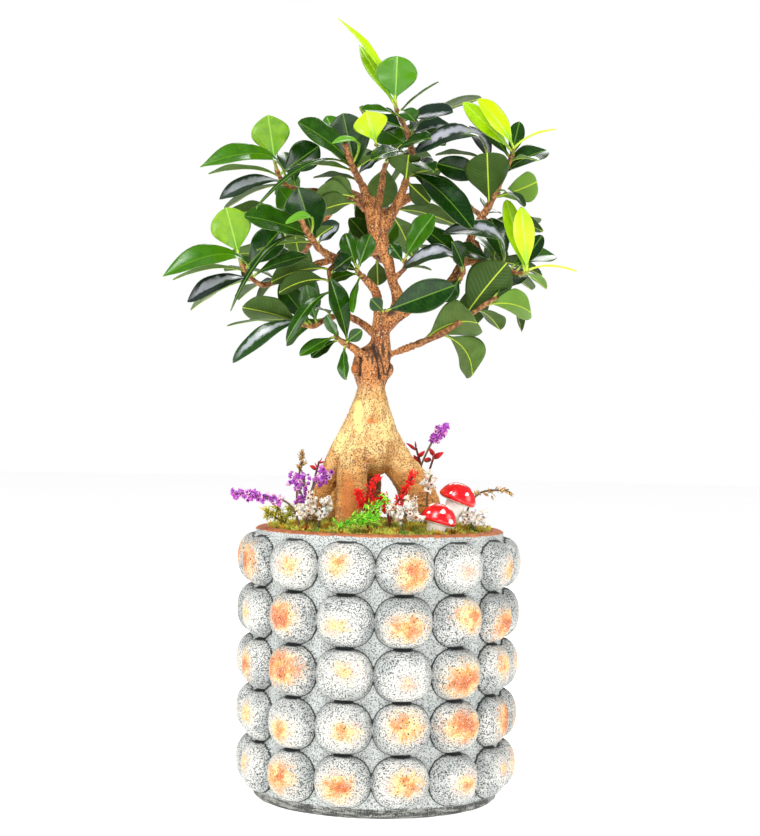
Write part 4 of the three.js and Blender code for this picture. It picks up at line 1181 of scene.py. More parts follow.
@dataclass(frozen=True)
class LeafSkin:
    """A leaf's two faces, its ribs and edge, its stalk and its twig.

    Attributes:
        name: The material's name.
        top: The upper face where it is dark and where it is light.
        below: The same of the lower face.
        stalk: The two tones of the leaf's stalk.
        green: How green its twig is.
    """

    name: str
    top: tuple[str, str]
    below: tuple[str, str]
    stalk: tuple[str, str]
    green: float

    def material(self, young: bool) -> bpy.types.Material:
        """The material.

        Args:
            young: Whether it is for fresh leaves, which yellow towards their tips.

        Returns:
            The material, which reads the place on a leaf from the leaf's named values.
        """
        s = Shader(self.name)
        along, across, under = s.value("along"), s.value("across"), s.value("under")
        tone, wood, reach = s.value("tone"), s.value("wood"), s.value("reach")
        side, cloud = across.math("ABSOLUTE", across), s.noise(6.0, 3.0, 0.6)
        mottle, aside, turned_down = cloud - 0.5, side * reach, under.step(0.4, 0.6)
        veins = (along * 15.0 - aside * 0.22) * LAP
        veins = veins.math("COSINE", veins).step(0.55, 1.0) * side.step(0.95, 0.5)
        rib, edge, light = aside.step(0.52, 0.22), side.step(0.95, 0.99), tone.step(0.9, 1.2) * 0.9
        shade = (tone + mottle * 0.5).step(0.0, 1.0)
        top, below = s.mix(shade, *self.top), s.mix(shade, *self.below)
        if young:
            foot = (1.0 - along * 1.6 - side * 0.5 + mottle * 0.6).step(0.1, 0.9)
            top = s.coated(top, (foot * 0.75, "3a8408"), (veins * 0.12, "5a9a14"), (rib * 0.6, "b4e04a"))
        else:
            # Painted reflection on the leaves so listed: a pale silvery band across a near-black upper face,
            # and a greyish veil on the lower face.
            band, silver = across + mottle * 1.1, s.value("silver")
            reflection_band = band.step(-0.15, 0.15) * band.step(0.75, 0.4) * along.step(1.0, 0.75)
            top = s.coated(top, (cloud.step(0.55, 0.75) * 0.3, "1b5210"), (veins * 0.05, "4f8c30"),
                           (rib * 0.45, "7cac34"), (light, "6aa82c"),
                           (silver * 0.8, s.mix(reflection_band, "1a2624", "b2b2c0")))
            below = s.coated(below, (veins * 0.10, "8ea468"), (light, "6c9c24"),
                             (silver * (0.2 + reflection_band * 0.3), "a6ac9c"), (rib * 0.95, "bcd43a"))
        bark = s.coated(s.mix(s.noise(2.2, 3.0).step(0.4, 0.62), "6a3d1e", "b07a48"), (self.green, "8fa83a"))
        skin = s.coated(top, (edge * 0.6, "a4c060"), (turned_down, below),
                        (wood.step(0.1, 0.4), s.mix(cloud, *self.stalk)), (wood.step(0.6, 0.9), bark))
        roughness = 0.24 + (turned_down * 0.3 + wood * 0.3) + mottle * 0.12
        return s.finish(skin, roughness, veins * 0.12 + cloud * 0.5, 0.12, Specular_IOR_Level=0.25,
                        Coat_Weight=(1.0 - turned_down) * 0.26, Coat_Roughness=0.12)


def walked(points: np.ndarray, share: float) -> np.ndarray:
    """The point at a share of the way along straight stretches."""
    place = min(max(share, 0), 0.999) * (len(points) - 1)
    i = int(place)
    return points[i] + (points[i + 1] - points[i]) * (place - i)


@dataclass
class Foliage:
    """All leafy sprays.

    Attributes:
        petiole_length: The stalk's length, in metres as all lengths here.
        petiole: The stalk's radius at its foot and at its end.
        fold: The angle at which each half of a blade lifts.
        thickness: Half a blade's thickness.
        margin: Half its thickness at the edge.
        groove: The depth of the groove over the midrib.
        keel: How far the midrib stands out below.
        vein: How far the skin swells between two veins.
        stations: How many rings a blade has.
        columns: How many stretches each of its faces has across.
        seat: How deep a leaf's foot sits in its twig.
        sunk: How far a twig's foot lies inside the limb it grows from.
        match: How near a point of the solid has to be to a leaf's tip.
        slimmest: A twig's least radius.
        ends: Where each limb and twig ends, its direction there and its radius.
    """

    petiole_length: float = 0.0025
    petiole: tuple[float, float] = (0.00095, 0.0006)
    fold: float = math.radians(14)
    thickness: float = 0.00026
    margin: float = 0.00006
    groove: float = 0.00022
    keel: float = 0.0005
    vein: float = 0.00007
    stations: int = 22
    columns: int = 12
    seat: float = 0.0003
    sunk: float = 0.003
    match: float = 0.0003
    slimmest: float = 0.0007
    ends: dict[str, tuple[np.ndarray, np.ndarray, float]] = field(default_factory=dict)

    def note_end(self, name: str, points: np.ndarray, radius: float) -> None:
        """Keeps where a limb or twig ends, its direction there and its radius."""
        self.ends[name] = (points[-1], unit(points[-1] - points[-2]), radius)

    def runs(self, spray: Spray | BackSpray) -> list[tuple[np.ndarray, np.ndarray]]:
        """The twigs of a spray.

        Args:
            spray: The spray.

        Returns:
            The points and radii of each, the first one from what carries it.
        """
        tip, direction, radius = self.ends[spray.start]
        result = []
        for i, stations in enumerate(spray.twigs):
            points, radii = on_sight(stations), np.asarray(stations, float)[:, 3] * MM
            if i == 0:
                points = np.concatenate([[tip + direction * self.seat], points])
                radii = np.concatenate([[min(radius, radii[0] * 1.1)], radii])
            result.append((points, radii))
        return result

    def settled(self, tip: np.ndarray, solid: np.ndarray) -> np.ndarray:
        """A leaf's tip at the lean in depth that the solid of its spray has.

        Args:
            tip: The tip before any lean.
            solid: The points of that solid.

        Returns:
            The leaned tip that one of those points matches, or the tip itself.
        """
        choices = deeper(np.repeat(tip[None], len(LEANS), axis=0), np.array(LEANS) * MM)
        gaps = np.linalg.norm(choices[:, None] - solid[None], axis=2).min(axis=1)
        return choices[int(gaps.argmin())] if gaps.min() < self.match else tip

    def leaf(self, spray: Spray | BackSpray, i: int, runs: list[tuple[np.ndarray, np.ndarray]],
             solid: np.ndarray, random: np.random.Generator) -> Leaf:
        """Leaf i of a spray, from its row or from the rule of the far side.

        Args:
            spray: The spray.
            i: Which leaf it is.
            runs: The spray's twigs.
            solid: The points of its solid.
            random: Where its tone is drawn from.

        Returns:
            The leaf. On the far side it turns a golden angle past the last one and opens less towards
            the twig's end, and its length and width swell by squared sines.
        """
        tone = LEAF_TONES.get(spray.name, {}).get(i, random.uniform(0, 0.45))
        looks = (tone, float((spray.name, i) in PAINTED_REFLECTION_LEAVES), POINTED_LEAVES.get((spray.name, i), 0.0))
        if isinstance(spray, Spray):
            place, x, z, depth, width, letters, bow = spray.leaves[i]
            base = walked(runs[int(place)][0], place - int(place))
            face = unit(sum((SIDES[letter] for letter in letters), np.zeros(3)))
            return Leaf(base, self.settled(on_sight([x, z, depth]), solid), width * MM, face, bow, *looks)
        points = runs[0][0]
        share = (i + 1) / BACK_LEAVES
        low, high = BACK_LEAF_SPAN
        base = walked(points, low + (high - low) * share)
        axis = unit(points[-1] - points[0])
        up = unit(SIDES["U"] - axis * axis[2])
        angle = spray.turn + i * GOLDEN_ANGLE
        flat, steep = BACK_LEAF_OPEN
        opening = math.radians(flat + (steep - flat) * share)
        out = up * math.cos(angle) + np.cross(axis, up) * math.sin(angle)
        heading = axis * math.cos(opening) + out * math.sin(opening)
        length = BACK_LEAF_LENGTH * (0.9 + 0.2 * math.sin(1.7 * i + spray.turn) ** 2) * MM
        width = BACK_LEAF_WIDTH * (0.9 + 0.2 * math.cos(2.3 * i + spray.turn) ** 2) * MM
        face = unit(SIDES["U"] + 0.5 * axis - 0.25 * out)
        return Leaf(base, self.settled(base + heading * length, solid), width, face, BACK_LEAF_BOW, *looks)

    def blade(self, leaf: Leaf, random: np.random.Generator) -> Patch:
        """The blade of a leaf.

        Args:
            leaf: The leaf.
            random: Where its point and its waves are drawn from.

        Returns:
            A closed patch. Half its width is width / 2 times sin(pi t^1.36)^(0.88 - (0.4 - point) t), so
            its tip is round, or sharp with a high point, and its foot a wedge. Each half lifts by the
            fold and waves towards its edge. The skin runs over the upper face and back under it, with a
            groove above the midrib and a keel below it.
        """
        even = np.linspace(-1, 1, self.columns + 1)
        v_top = np.sin(even * math.pi / 2) * 0.4 + even * 0.6
        v = np.concatenate([v_top, v_top[-2:0:-1]])[None]
        under = np.concatenate([np.zeros(self.columns + 1), np.ones(self.columns - 1)])[None]
        under[0, [0, self.columns]] = 0.5
        t = (1 - np.cos(np.linspace(0, math.pi, self.stations))) / 2
        t = (t * 0.5 + np.linspace(0, 1, self.stations) * 0.5)[:, None]
        stalk = self.stalk_share(leaf)
        share = stalk + (1 - stalk) * t[:, 0]
        heading = unit(leaf.spine(np.minimum(share + 0.02, 1)) - leaf.spine(share - 0.02))
        across = np.cross((leaf.tip - leaf.base) / leaf.length, leaf.normal)
        up = np.cross(across, heading)
        point = leaf.point + random.uniform(0, 0.25)
        half = leaf.width / 2 * np.sin(math.pi * np.clip(t, 0, 1) ** 1.36) ** (0.88 - (0.4 - point) * t)
        half = np.maximum(np.nan_to_num(half), 0.0007 * (1 - t) + 0.0003)
        phases, waves = random.uniform(0, LAP, 2), random.uniform(1.5, 2.6, 2)
        wave = np.where(v < 0, *(np.sin(t * LAP * waves[i] + phases[i]) for i in (0, 1)))
        lift = half * (math.sin(self.fold) * (np.sqrt(v ** 2 + 0.012) - 0.11) + 0.07 * wave * v ** 2)
        veins = np.cos((t * leaf.length * 1000 / 3.0 - np.abs(v) * half * 1000 / 4.0) * LAP)
        lift = lift + self.vein * veins * (1 - np.abs(v)) * np.minimum(half / 0.004, 1)
        rib = np.exp(-(v * half / 0.0006) ** 2) * (1 - 0.7 * t)
        body = self.thickness * (1 - v ** 4) + self.margin
        skin = np.where(under < 0.5, body - self.groove * rib, -body - self.keel * rib)
        skin = np.where(under == 0.5, 0.0, skin)
        grid = (leaf.spine(share)[:, None] + across * (v * half)[..., None]
                + up[:, None] * (lift + skin)[..., None])
        along, v, under, reach = np.broadcast_arrays(t, v, under, half * 1000)
        patch = capped_grid(grid, along=along, across=v, under=under, reach=reach)
        return patch.tagged(tone=leaf.tone, silver=leaf.silver, wood=0.0)

    def stalk_share(self, leaf: Leaf) -> float:
        """The share of a leaf's length that its stalk takes."""
        return min(self.petiole_length / leaf.length, 0.3)

    def stalk(self, leaf: Leaf) -> Patch:
        """The stalk of a leaf, a thin tube along its spine that ends inside the blade."""
        path = leaf.spine(np.linspace(0.0, self.stalk_share(leaf) + 0.05, 7))
        return tube(path, np.linspace(*self.petiole, 7), 8, wood=0.5, tone=leaf.tone)

    def twig(self, points: np.ndarray, radii: np.ndarray) -> Patch:
        """A twig.

        Args:
            points: Where it runs.
            radii: Its radius at each of them.

        Returns:
            A smooth limb that swells a little at each of its points.
        """
        steps = 8
        foot = points[0] - unit(points[1] - points[0]) * self.sunk
        tip = points[-1] + unit(points[-1] - points[-2]) * radii[-1] * 0.6
        points, radii = np.vstack([foot, points, tip]), np.concatenate([radii[:1], radii, radii[-1:] * 0.4])
        path = smooth_path(np.column_stack([points, radii]), steps)
        swell = 1 + 0.12 * np.cos(np.arange(len(path)) * 2 * math.pi / steps)
        return tube(path[:, :3], np.maximum(path[:, 3], self.slimmest) * swell, 10, wood=1.0)

    def build(self) -> None:
        """Adds each spray in place of its node."""
        for name, stations in LIMBS.items():
            self.note_end(name, on_sight(stations), stations[-1][3] * MM)
        sprays = [*SPRAYS, *BACK_SPRAYS]
        all_runs = {}
        for spray in sorted(sprays, key=lambda one: one.young):
            all_runs[spray.name] = self.runs(spray)
            for i, (points, radii) in enumerate(all_runs[spray.name]):
                self.note_end(f"{spray.name}:{i}" if i else spray.name, points, radii[-1])
        finishes = {young: skin.material(young) for young, skin in LEAF_SKINS.items()}
        random = np.random.default_rng(SEED + 3)
        for spray in sprays:
            solid = read_values(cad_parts[spray.name].data.vertices, "co", 3, np.float32).astype(float)
            runs = all_runs[spray.name]
            count = len(spray.leaves) if isinstance(spray, Spray) else BACK_LEAVES
            leaves = [self.leaf(spray, i, runs, solid, random) for i in range(count)]
            patches = [patch for leaf in leaves for patch in (self.blade(leaf, random), self.stalk(leaf))]
            patches += [self.twig(points, radii) for points, radii in runs]
            add_piece(f"{spray.name}_leaves", joined(patches), finishes[spray.young], spray.name)


# Dried sprigs

@dataclass(frozen=True)
class Sprig:
    """A dried sprig pushed into the moss.

    Attributes:
        name: Its node.
        kind: What kind of blossom it carries.
        start: The share of each stem at which its blossoms start.
        count: How many blossoms of the solid a stem has.
        reach: How far such a blossom reaches, in millimetres.
        breadth: How broad it is.
        open: The angle at which it stands off, in degrees.
        stems: Stations of x, z and depth for each stem.
    """

    name: str
    kind: str
    start: float
    count: int
    reach: float
    breadth: float
    open: float
    stems: list[list[list[float]]]


@dataclass(frozen=True)
class Blossom:
    """How a kind of blossom is made fine.

    Attributes:
        slot: Its finish's slot, which is not used.
        shape: The small shape, one high.
        copies: How many there are for each blossom of the solid.
        size: Their size as a share of the solid blossom's reach, least and most.
        spread: How widely they scatter round it, as a share of its breadth.
        tones: The darkest and the lightest petals, a third kind, the heart and the stem.
    """

    slot: Slot
    shape: Patch
    copies: int
    size: tuple[float, float]
    spread: float
    tones: tuple[str, str, str, str, str]

    def material(self, name: str) -> bpy.types.Material:
        """Dry petals, the stem and the heart, in a material of the given name."""
        s = Shader(name)
        low, high, other, heart, stem = self.tones
        luck, centre = s.value("luck"), s.value("centre")
        petals = s.coated(s.mix(luck, low, high), (luck.step(0.72, 0.86), other),
                          ((centre + (s.noise(1.0) - 0.5) * 0.3).step(0.45, 0.9), heart))
        tone = s.mix(s.value("petal"), s.mix(s.noise(1.5), stem, "3c2c18"), petals)
        return s.finish(tone, 0.8, s.noise(0.5), 0.15, Subsurface_Weight=0.25, Subsurface_Scale=0.001)


def star_cup(petals: int, depth: float, notch: float) -> Patch:
    """A small floret along +Z with a rim of petals round a hollow.

    Args:
        petals: How many petals it has.
        depth: How deep the hollow is, as a share of its height.
        notch: How far the rim draws in between two petals.

    Returns:
        A closed cup one high: rings out from the foot to a lobed rim and in again to the hollow's
        middle. The value centre is 1 in the middle and 0 at the rim.
    """
    angle = np.arange(petals * 2) * math.pi / petals
    lobes = np.where(np.arange(petals * 2) % 2 == 0, 1.0, notch)
    rows = [(0.10, 0.0, 0), (0.30, 0.45, 0), (0.62, 0.86, 1), (0.55, 0.93, 1), (0.22, 1 - depth, 0)]
    grid = []
    for radius, z, lobed in rows:
        out = radius * (lobes if lobed else 1)
        rise = np.full(petals * 2, z) + (lobes - notch) * 0.12 * lobed
        grid.append(np.stack([out * np.cos(angle), out * np.sin(angle), rise], axis=-1))
    centre = np.repeat(np.array([0.6, 0.4, 0.0, 0.0, 1.0])[:, None], petals * 2, axis=1)
    return capped_grid(np.stack(grid), centre=centre)


def slim_leaf(width: float, bend: float) -> Patch:
    """A pointed slip along +Z.

    Args:
        width: Half its breadth.
        bend: How far its tip bends over.

    Returns:
        A closed flattened slip one high that is widest at two fifths. The value centre is 1 at its
        foot and 0 at its tip.
    """
    sides = 4
    t = np.array([0.0, 0.18, 0.42, 0.7, 0.9, 1.0])[:, None]
    half = width * np.array([0.22, 0.75, 1.0, 0.72, 0.35, 0.06])[:, None]
    angle = np.arange(sides) * 2 * math.pi / sides
    flat = half * np.sin(angle) * 0.35 + bend * t ** 2
    grid = np.stack([half * np.cos(angle), flat, np.repeat(t, sides, axis=1)], axis=-1)
    return capped_grid(grid, centre=np.repeat(1 - t, sides, axis=1))


@dataclass
class DriedSprigs:
    """The dried sprigs: stems with many small blossoms, round the places of the solid's larger ones.

    Attributes:
        stem_radius: A stem's radius, in metres.
        first: Where the first blossom stands, as a share of the step between two.
        scatter: How widely the small blossoms lean.
    """

    stem_radius: float = 0.00065
    first: float = 0.7
    scatter: float = 0.42

    def heading(self, sprig: Sprig, stem: int, i: int) -> tuple[np.ndarray, np.ndarray]:
        """Where blossom i of a stem stands in the solid.

        Args:
            sprig: The sprig.
            stem: Which of its stems it is.
            i: Which of the stem's blossoms it is.

        Returns:
            The blossom's foot and the way it points, turned a golden angle past the last.
        """
        points = on_sight(sprig.stems[stem])
        share = sprig.start + (1 - sprig.start) * (i + self.first) / sprig.count
        axis = unit(walked(points, share + 0.02) - walked(points, share - 0.02))
        side = unit(np.cross([0.0, -1.0, 0.0], axis))
        angle, opening = i * GOLDEN_ANGLE + stem, math.radians(sprig.open)
        return walked(points, share), (
            axis * math.cos(opening) + side * math.sin(opening) * math.cos(angle)
            + np.cross(axis, side) * math.sin(opening) * math.sin(angle))

    def blossoms(self, sprig: Sprig, kind: Blossom, random: np.random.Generator) -> Patch:
        """All the small blossoms of a sprig.

        Args:
            sprig: The sprig.
            kind: How its blossoms are made.
            random: Where their places, leans, sizes and tones are drawn from.

        Returns:
            The blossoms, scattered about each blossom of the solid.
        """
        rows = [self.heading(sprig, stem, i) for stem in range(len(sprig.stems)) for i in range(sprig.count)]
        feet, headings = (np.repeat(np.array(part), kind.copies, axis=0) for part in zip(*rows))
        count = len(feet)
        headings = unit(headings + random.normal(0, self.scatter, (count, 3)))
        spread = kind.spread * sprig.breadth * MM
        feet = feet + unit(random.normal(0, 1, (count, 3))) * random.uniform(0, spread, (count, 1))
        size = random.uniform(*kind.size, count) * sprig.reach * MM
        return scattered(kind.shape, feet, headings, size, random.uniform(0, LAP, count),
                         luck=random.uniform(0, 1, count), petal=np.ones(count))

    def stems(self, sprig: Sprig) -> list[Patch]:
        """A sprig's stems, smooth and thin."""
        paths = [smooth_path(on_sight(stations), 6) for stations in sprig.stems]
        return [tube(path, np.full(len(path), self.stem_radius), 7, luck=0.5) for path in paths]

    def build(self) -> None:
        """Adds each sprig in place of its node."""
        random = np.random.default_rng(SEED + 4)
        finishes = {name: kind.material(f"{name}_petals") for name, kind in BLOSSOMS.items()}
        for sprig in SPRIGS:
            kind = BLOSSOMS[sprig.kind]
            patch = joined([*self.stems(sprig), self.blossoms(sprig, kind, random)])
            add_piece(f"{sprig.name}_fine", patch, finishes[sprig.kind], sprig.name)


# Toadstool picks

class Lacquer:
    """The cap's glossy red lacquer with white blobs, and the stalk's rough white foam."""

    def cap(self) -> bpy.types.Material:
        """The cap's material, which reads where the spots and the underside are."""
        s = Shader("red_lacquer")
        spot = s.value("spot")
        tone = s.coated(
            s.mix(s.noise(5.0).step(0.4, 0.7), "d80812", "ee1420"), (spot.step(0.25, 0.6), "f6efe6"),
            (s.value("height").step(0.9, 0.4), "efe4d2"))
        return s.finish(tone, 0.22 + spot * 0.4, s.noise(0.8), 0.08, Coat_Weight=0.4, Coat_Roughness=0.1)

    def stalk(self) -> bpy.types.Material:
        """The stalk's material."""
        s = Shader("white_foam")
        return s.finish(s.mix(s.noise(1.6, 3.0), "f8f3e8", "fffdf8"), 0.8, s.noise(0.7), 0.25)


@dataclass(frozen=True)
class Toadstool:
    """A toadstool pick.

    Attributes:
        name: The start of its nodes' names.
        place: Where the middle of the cap's underside is: x, z and depth, in millimetres as all lengths.
        tip: How far it tips to the right, in degrees.
        radius: The cap's radius.
        stalk: The stalk's length.
        spots: How many spots the cap has.
        spot_size: The least and the greatest radius of a spot.
        bulge: How far a spot stands out.
        sides: How many points go round the cap and round the stalk.
    """

    name: str
    place: Sequence[float]
    tip: float
    radius: float
    stalk: float
    spots: int = 9
    spot_size: tuple[float, float] = (0.7, 1.9)
    bulge: float = 0.4
    sides: tuple[int, int] = (72, 40)

    def placed(self, points: np.ndarray) -> np.ndarray:
        """Puts points in their place.

        Args:
            points: Places in millimetres about the middle of the cap's underside.

        Returns:
            The places in metres, tipped about Y and moved there.
        """
        angle = math.radians(self.tip)
        x = points[..., 0] * math.cos(angle) + points[..., 2] * math.sin(angle)
        z = points[..., 2] * math.cos(angle) - points[..., 0] * math.sin(angle)
        return np.stack([x, points[..., 1], z], axis=-1) * MM + on_sight(self.place)

    def cap(self, random: np.random.Generator) -> Patch:
        """The cap.

        Args:
            random: Where the turn and the sizes of its spots are drawn from.

        Returns:
            Its profile turned about the stalk, with raised uneven spots over its top. The value spot is
            1 on them, and height is in millimetres over the underside.
        """
        profile = smooth_path(np.array(CAP_PROFILE), 6)
        profile = np.column_stack([np.maximum(profile[:, 0] * self.radius, 0.02), profile[:, 1]])
        grid = turned(profile, self.sides[0])
        number = np.arange(self.spots)
        lift = 0.15 + 0.8 * (number + 0.5) / self.spots
        angle = number * GOLDEN_ANGLE + random.uniform(0, LAP)
        flat = np.sqrt(1 - lift ** 2) * self.radius * 1.02
        spots = np.stack([flat * np.cos(angle), flat * np.sin(angle), 1.5 + lift * 10], axis=-1)
        sizes = random.uniform(*self.spot_size, self.spots)
        points = grid.reshape(-1, 3)
        gap = np.linalg.norm(points[:, None] - spots[None], axis=2) / sizes[None]
        near = gap.min(axis=1) + ValueNoise(SEED + 5)(points, 1.1) * 0.32
        spot = np.clip((1.05 - near) * 6, 0, 1) * np.clip(points[:, 2] / 2.0, 0, 1)
        points = points + unit(points - np.array([0, 0, 3.0])) * (spot * self.bulge)[:, None]
        return capped_grid(self.placed(points.reshape(grid.shape)), spot=spot.reshape(grid.shape[:2]),
                           height=grid[..., 2])

    def stem(self) -> Patch:
        """The stalk: a turned foam stick, slimmest at its foot, with a soft edge there."""
        rows = np.array([(0.5, -self.stalk), (0.84, -self.stalk), (0.9, -self.stalk + 0.8),
                         (0.97, -self.stalk * 0.6), (1.08, -self.stalk * 0.25), (1.15, -0.35)])
        return capped_grid(self.placed(turned(smooth_path(rows, 4) * [STALK_RADIUS, 1.0], self.sides[1])))

    def build(self, cap: bpy.types.Material, stalk: bpy.types.Material, random: np.random.Generator) -> None:
        """Adds the cap and the stalk.

        Args:
            cap: The cap's finish.
            stalk: The stalk's.
            random: Where the spots are drawn from.
        """
        add_piece(f"{self.name}_cap_spotted", self.cap(random), cap, f"{self.name}_cap")
        add_piece(f"{self.name}_stalk_foam", self.stem(), stalk, f"{self.name}_stalk")


# Places: the tables of the solid model, in its millimetres

SIDES = {letter: np.array(vector, float) for letter, vector in {
    "U": (0, 0, 1), "D": (0, 0, -1), "F": (0, -1, 0), "B": (0, 1, 0), "L": (-1, 0, 0), "R": (1, 0, 0),
}.items()}

# The leans in depth, in millimetres, that a leaf's tip may have
LEANS = [0, -5, 5, -10, 10, -15, 15, -20, 20, -26, 26, -32, 32]

# The leaves of a spray on the far side: how many, their length, width and bow, and from the first to the
# last of them how wide they open, in degrees, and where on the twig they stand
BACK_LEAVES = 5
BACK_LEAF_LENGTH = 40
BACK_LEAF_WIDTH = 18
BACK_LEAF_BOW = 0.12
BACK_LEAF_OPEN = (78, 40)
BACK_LEAF_SPAN = (0.15, 0.99)

# Leaves of a tone of their own, from dark 0 to light 1, by spray and number
LEAF_TONES = {
    "top_shoot": {0: 0.0, 1: 0.9, 2: 0.4}, "upper_left_shoot": {0: 0.3}, "left_shoot": {0: 0.35},
    "centre_shoot": {0: 1.0}, "upper_right_shoot": {0: 1.0, 1: 0.55, 2: 0.95},
    "right_shoot": {0: 1.0, 1: 0.45, 2: 1.0}, "knot_spray": {0: 0.1}, "stem_spray": {0: 0.45, 2: 0.2},
    "upper_left_inner_spray": {0: 0.15, 1: 0.3, 2: 1.2, 4: 0.3, 7: 0.6},
    "left_inner_spray": {0: 0.15, 1: 0.3, 2: 1.2, 4: 0.3, 7: 0.6},
    "upper_left_outer_spray": {0: 0.6, 1: 0.5, 4: 0.1}, "left_outer_spray": {0: 0.6, 1: 0.45, 4: 0.1},
    "front_spray": {0: 0.45, 1: 0.3, 2: 0.4}, "top_spray": {3: 0.3, 5: 0.3, 7: 0.15, 9: 0.2},
    "upper_right_spray": {0: 0.1, 1: 1.05, 4: 0.7, 8: 0.1, 9: 0.2}, "right_spray": {1: 1.0, 4: 0.1},
    "low_right_spray": {0: 0.5, 1: 0.1, 2: 1.05, 3: 0.55}, "left_under_spray": {0: 0.3},
    "low_left_spray": {0: 0.3, 1: 0.8, 7: 0.4}, "spur_spray": {0: 0.2, 3: 0.35}, "fork_spray": {2: 0.6},
}

# Leaves with a sharper tip, by spray and number
POINTED_LEAVES = {("centre_shoot", 0): 0.75, ("top_shoot", 1): 0.5, ("top_shoot", 2): 0.3,
                  ("upper_left_outer_spray", 0): 0.4, ("left_outer_spray", 0): 0.4}

# Leaves with a painted reflection, a silvery band across their faces, by spray and number
PAINTED_REFLECTION_LEAVES = {
    ("upper_right_spray", 2), ("upper_right_spray", 3), ("right_spray", 0), ("left_outer_spray", 2),
    ("left_outer_spray", 3), ("upper_left_outer_spray", 2), ("upper_left_outer_spray", 3),
    ("top_spray", 17), ("low_left_spray", 1), ("inner_right_spray", 1), ("upper_left_inner_spray", 4),
    ("left_inner_spray", 4), ("top_spray", 0), ("top_spray", 12), ("upper_right_spray", 10),
}

# Hollows of the bark: place, width and depth, with a swelling's depth negative
HOLLOWS = [
    ([3, 290, -5], 3.2, 1.6), ([-15, 256, -9], 4.0, -0.8), ([-7, 223, -13], 2.0, 0.5),
    ([-14, 228, -11], 7.0, -0.5), ([2, 256, -9], 4.5, -0.7), ([-8, 355, -3], 1.6, 0.7),
]

# Crevices down the front of the neck: their line in x and z, width and depth
CREVICES = [
    ([(-13.5, 260.5), (-13.8, 250.5)], 0.9, 2.6), ([(4.2, 265), (4.6, 257), (2.6, 251)], 0.7, 1.8),
    ([(-6.2, 269), (-4.3, 264.6), (-3.3, 259.8), (-2.6, 255), (-1.6, 249)], 0.6, 2.4),
    ([(-3.9, 268.4), (-1.1, 261.7), (0.1, 257), (0.9, 251.5)], 0.55, 2.0),
    ([(-9.6, 262), (-9.0, 258.5)], 0.6, 0.9), ([(-8.4, 257), (-7.6, 253.5)], 0.6, 0.9),
    ([(-6.6, 262), (-6.2, 257.5)], 0.6, 0.9), ([(-11, 256.5), (-10.4, 252)], 0.6, 0.9),
]

# Marks on the front of the wood, of pale and amber colour and of painted shade: their middle in x and z, and
# half their width and height
MARKS = {
    "pale": [(-14.6, 233, 3.0, 4.0), (-14.4, 226, 3.0, 5.0), (-13.6, 219, 2.6, 2.4)],
    "amber": [(-6.5, 223.8, 2.6, 1.9), (-17, 255, 1.8, 2.0), (-18.5, 178, 5.0, 14.0)],
    "shade": [(-6.4, 184, 2.0, 13.0), (-15, 199, 9.0, 5.0), (-7, 195, 4.5, 5.0), (-27, 186, 1.6, 12.0)],
}

# A toadstool's stalk, and its cap's outline as shares of the radius and heights, in millimetres
STALK_RADIUS = 5
CAP_PROFILE = [(0, 0), (0.7, 0), (1, 1.5), (0.97, 4.2), (0.74, 8.2), (0.4, 10.8), (0, 11.6)]

# The finish of older leaves, and that of fresh ones
LEAF_SKINS = {
    False: LeafSkin("glossy_leaf", ("082c02", "4a8a06"), ("2f4a0c", "6c8c42"), ("8aa030", "b4c650"), 0.0),
    True: LeafSkin("fresh_leaf", ("4a8606", "bce600"), ("7fb82c", "d2ee3c"), ("a8cc2c", "cfe34a"), 0.6),
}

# How each kind of sprig is made
BLOSSOMS = {
    "purple": Blossom(Slot.PURPLE, star_cup(5, 0.55, 0.62), 14, (0.4, 0.85), 0.85,
                      ("9c34b0", "dc80dc", "f6c4e4", "641c70", "8a7a50")),
    "white": Blossom(Slot.WHITE, star_cup(6, 0.35, 0.42), 7, (0.6, 1.1), 0.85,
                     ("f4e8d8", "fffaf0", "f0cdb0", "7c4620", "8a7a4c")),
    "red": Blossom(Slot.RED, slim_leaf(0.2, 0.2), 44, (0.22, 0.5), 0.75,
                   ("ee0808", "ff1c14", "ff3420", "d80408", "8a2418")),
    "crimson": Blossom(Slot.RED, slim_leaf(0.26, 0.15), 2, (0.6, 0.85), 0.3,
                       ("a80810", "dc141c", "c40c14", "8a0810", "6a2418")),
    "frond": Blossom(Slot.FROND, slim_leaf(0.15, 0.18), 30, (0.16, 0.42), 1.4,
                     ("68d41c", "b0fa3c", "d8fa60", "4ca814", "8aa82c")),
    "seed": Blossom(Slot.SEED_HEAD, slim_leaf(0.2, 0.1), 9, (0.7, 1.2), 0.7,
                    ("b08a50", "e6c890", "f2e2b8", "8a6430", "8a6a3c")),
    "moss": Blossom(Slot.MOSS_TUFT, slim_leaf(0.1, 0.5), 30, (0.6, 1.2), 0.5,
                    ("b0b42c", "f0f060", "d8b838", "7c7c1c", "6a5a1c")),
}

# The soft lights: where each is, the point it looks at, its width and its power
LIGHTS = [
    ("key", (-0.45, -1.1, 1.7), (0, 0, 0.22), 0.7, 25.0), ("front", (0.3, -1.5, 0.3), (0, 0, 0.17), 0.6, 6.0),
    ("left", (-1.5, -0.3, 0.7), (0, 0, 0.2), 0.8, 8.0), ("right", (1.5, -0.2, 0.8), (0, 0, 0.2), 0.8, 9.0),
    ("back", (0.2, 1.4, 1.4), (0, 0, 0.3), 0.9, 12.0),
]

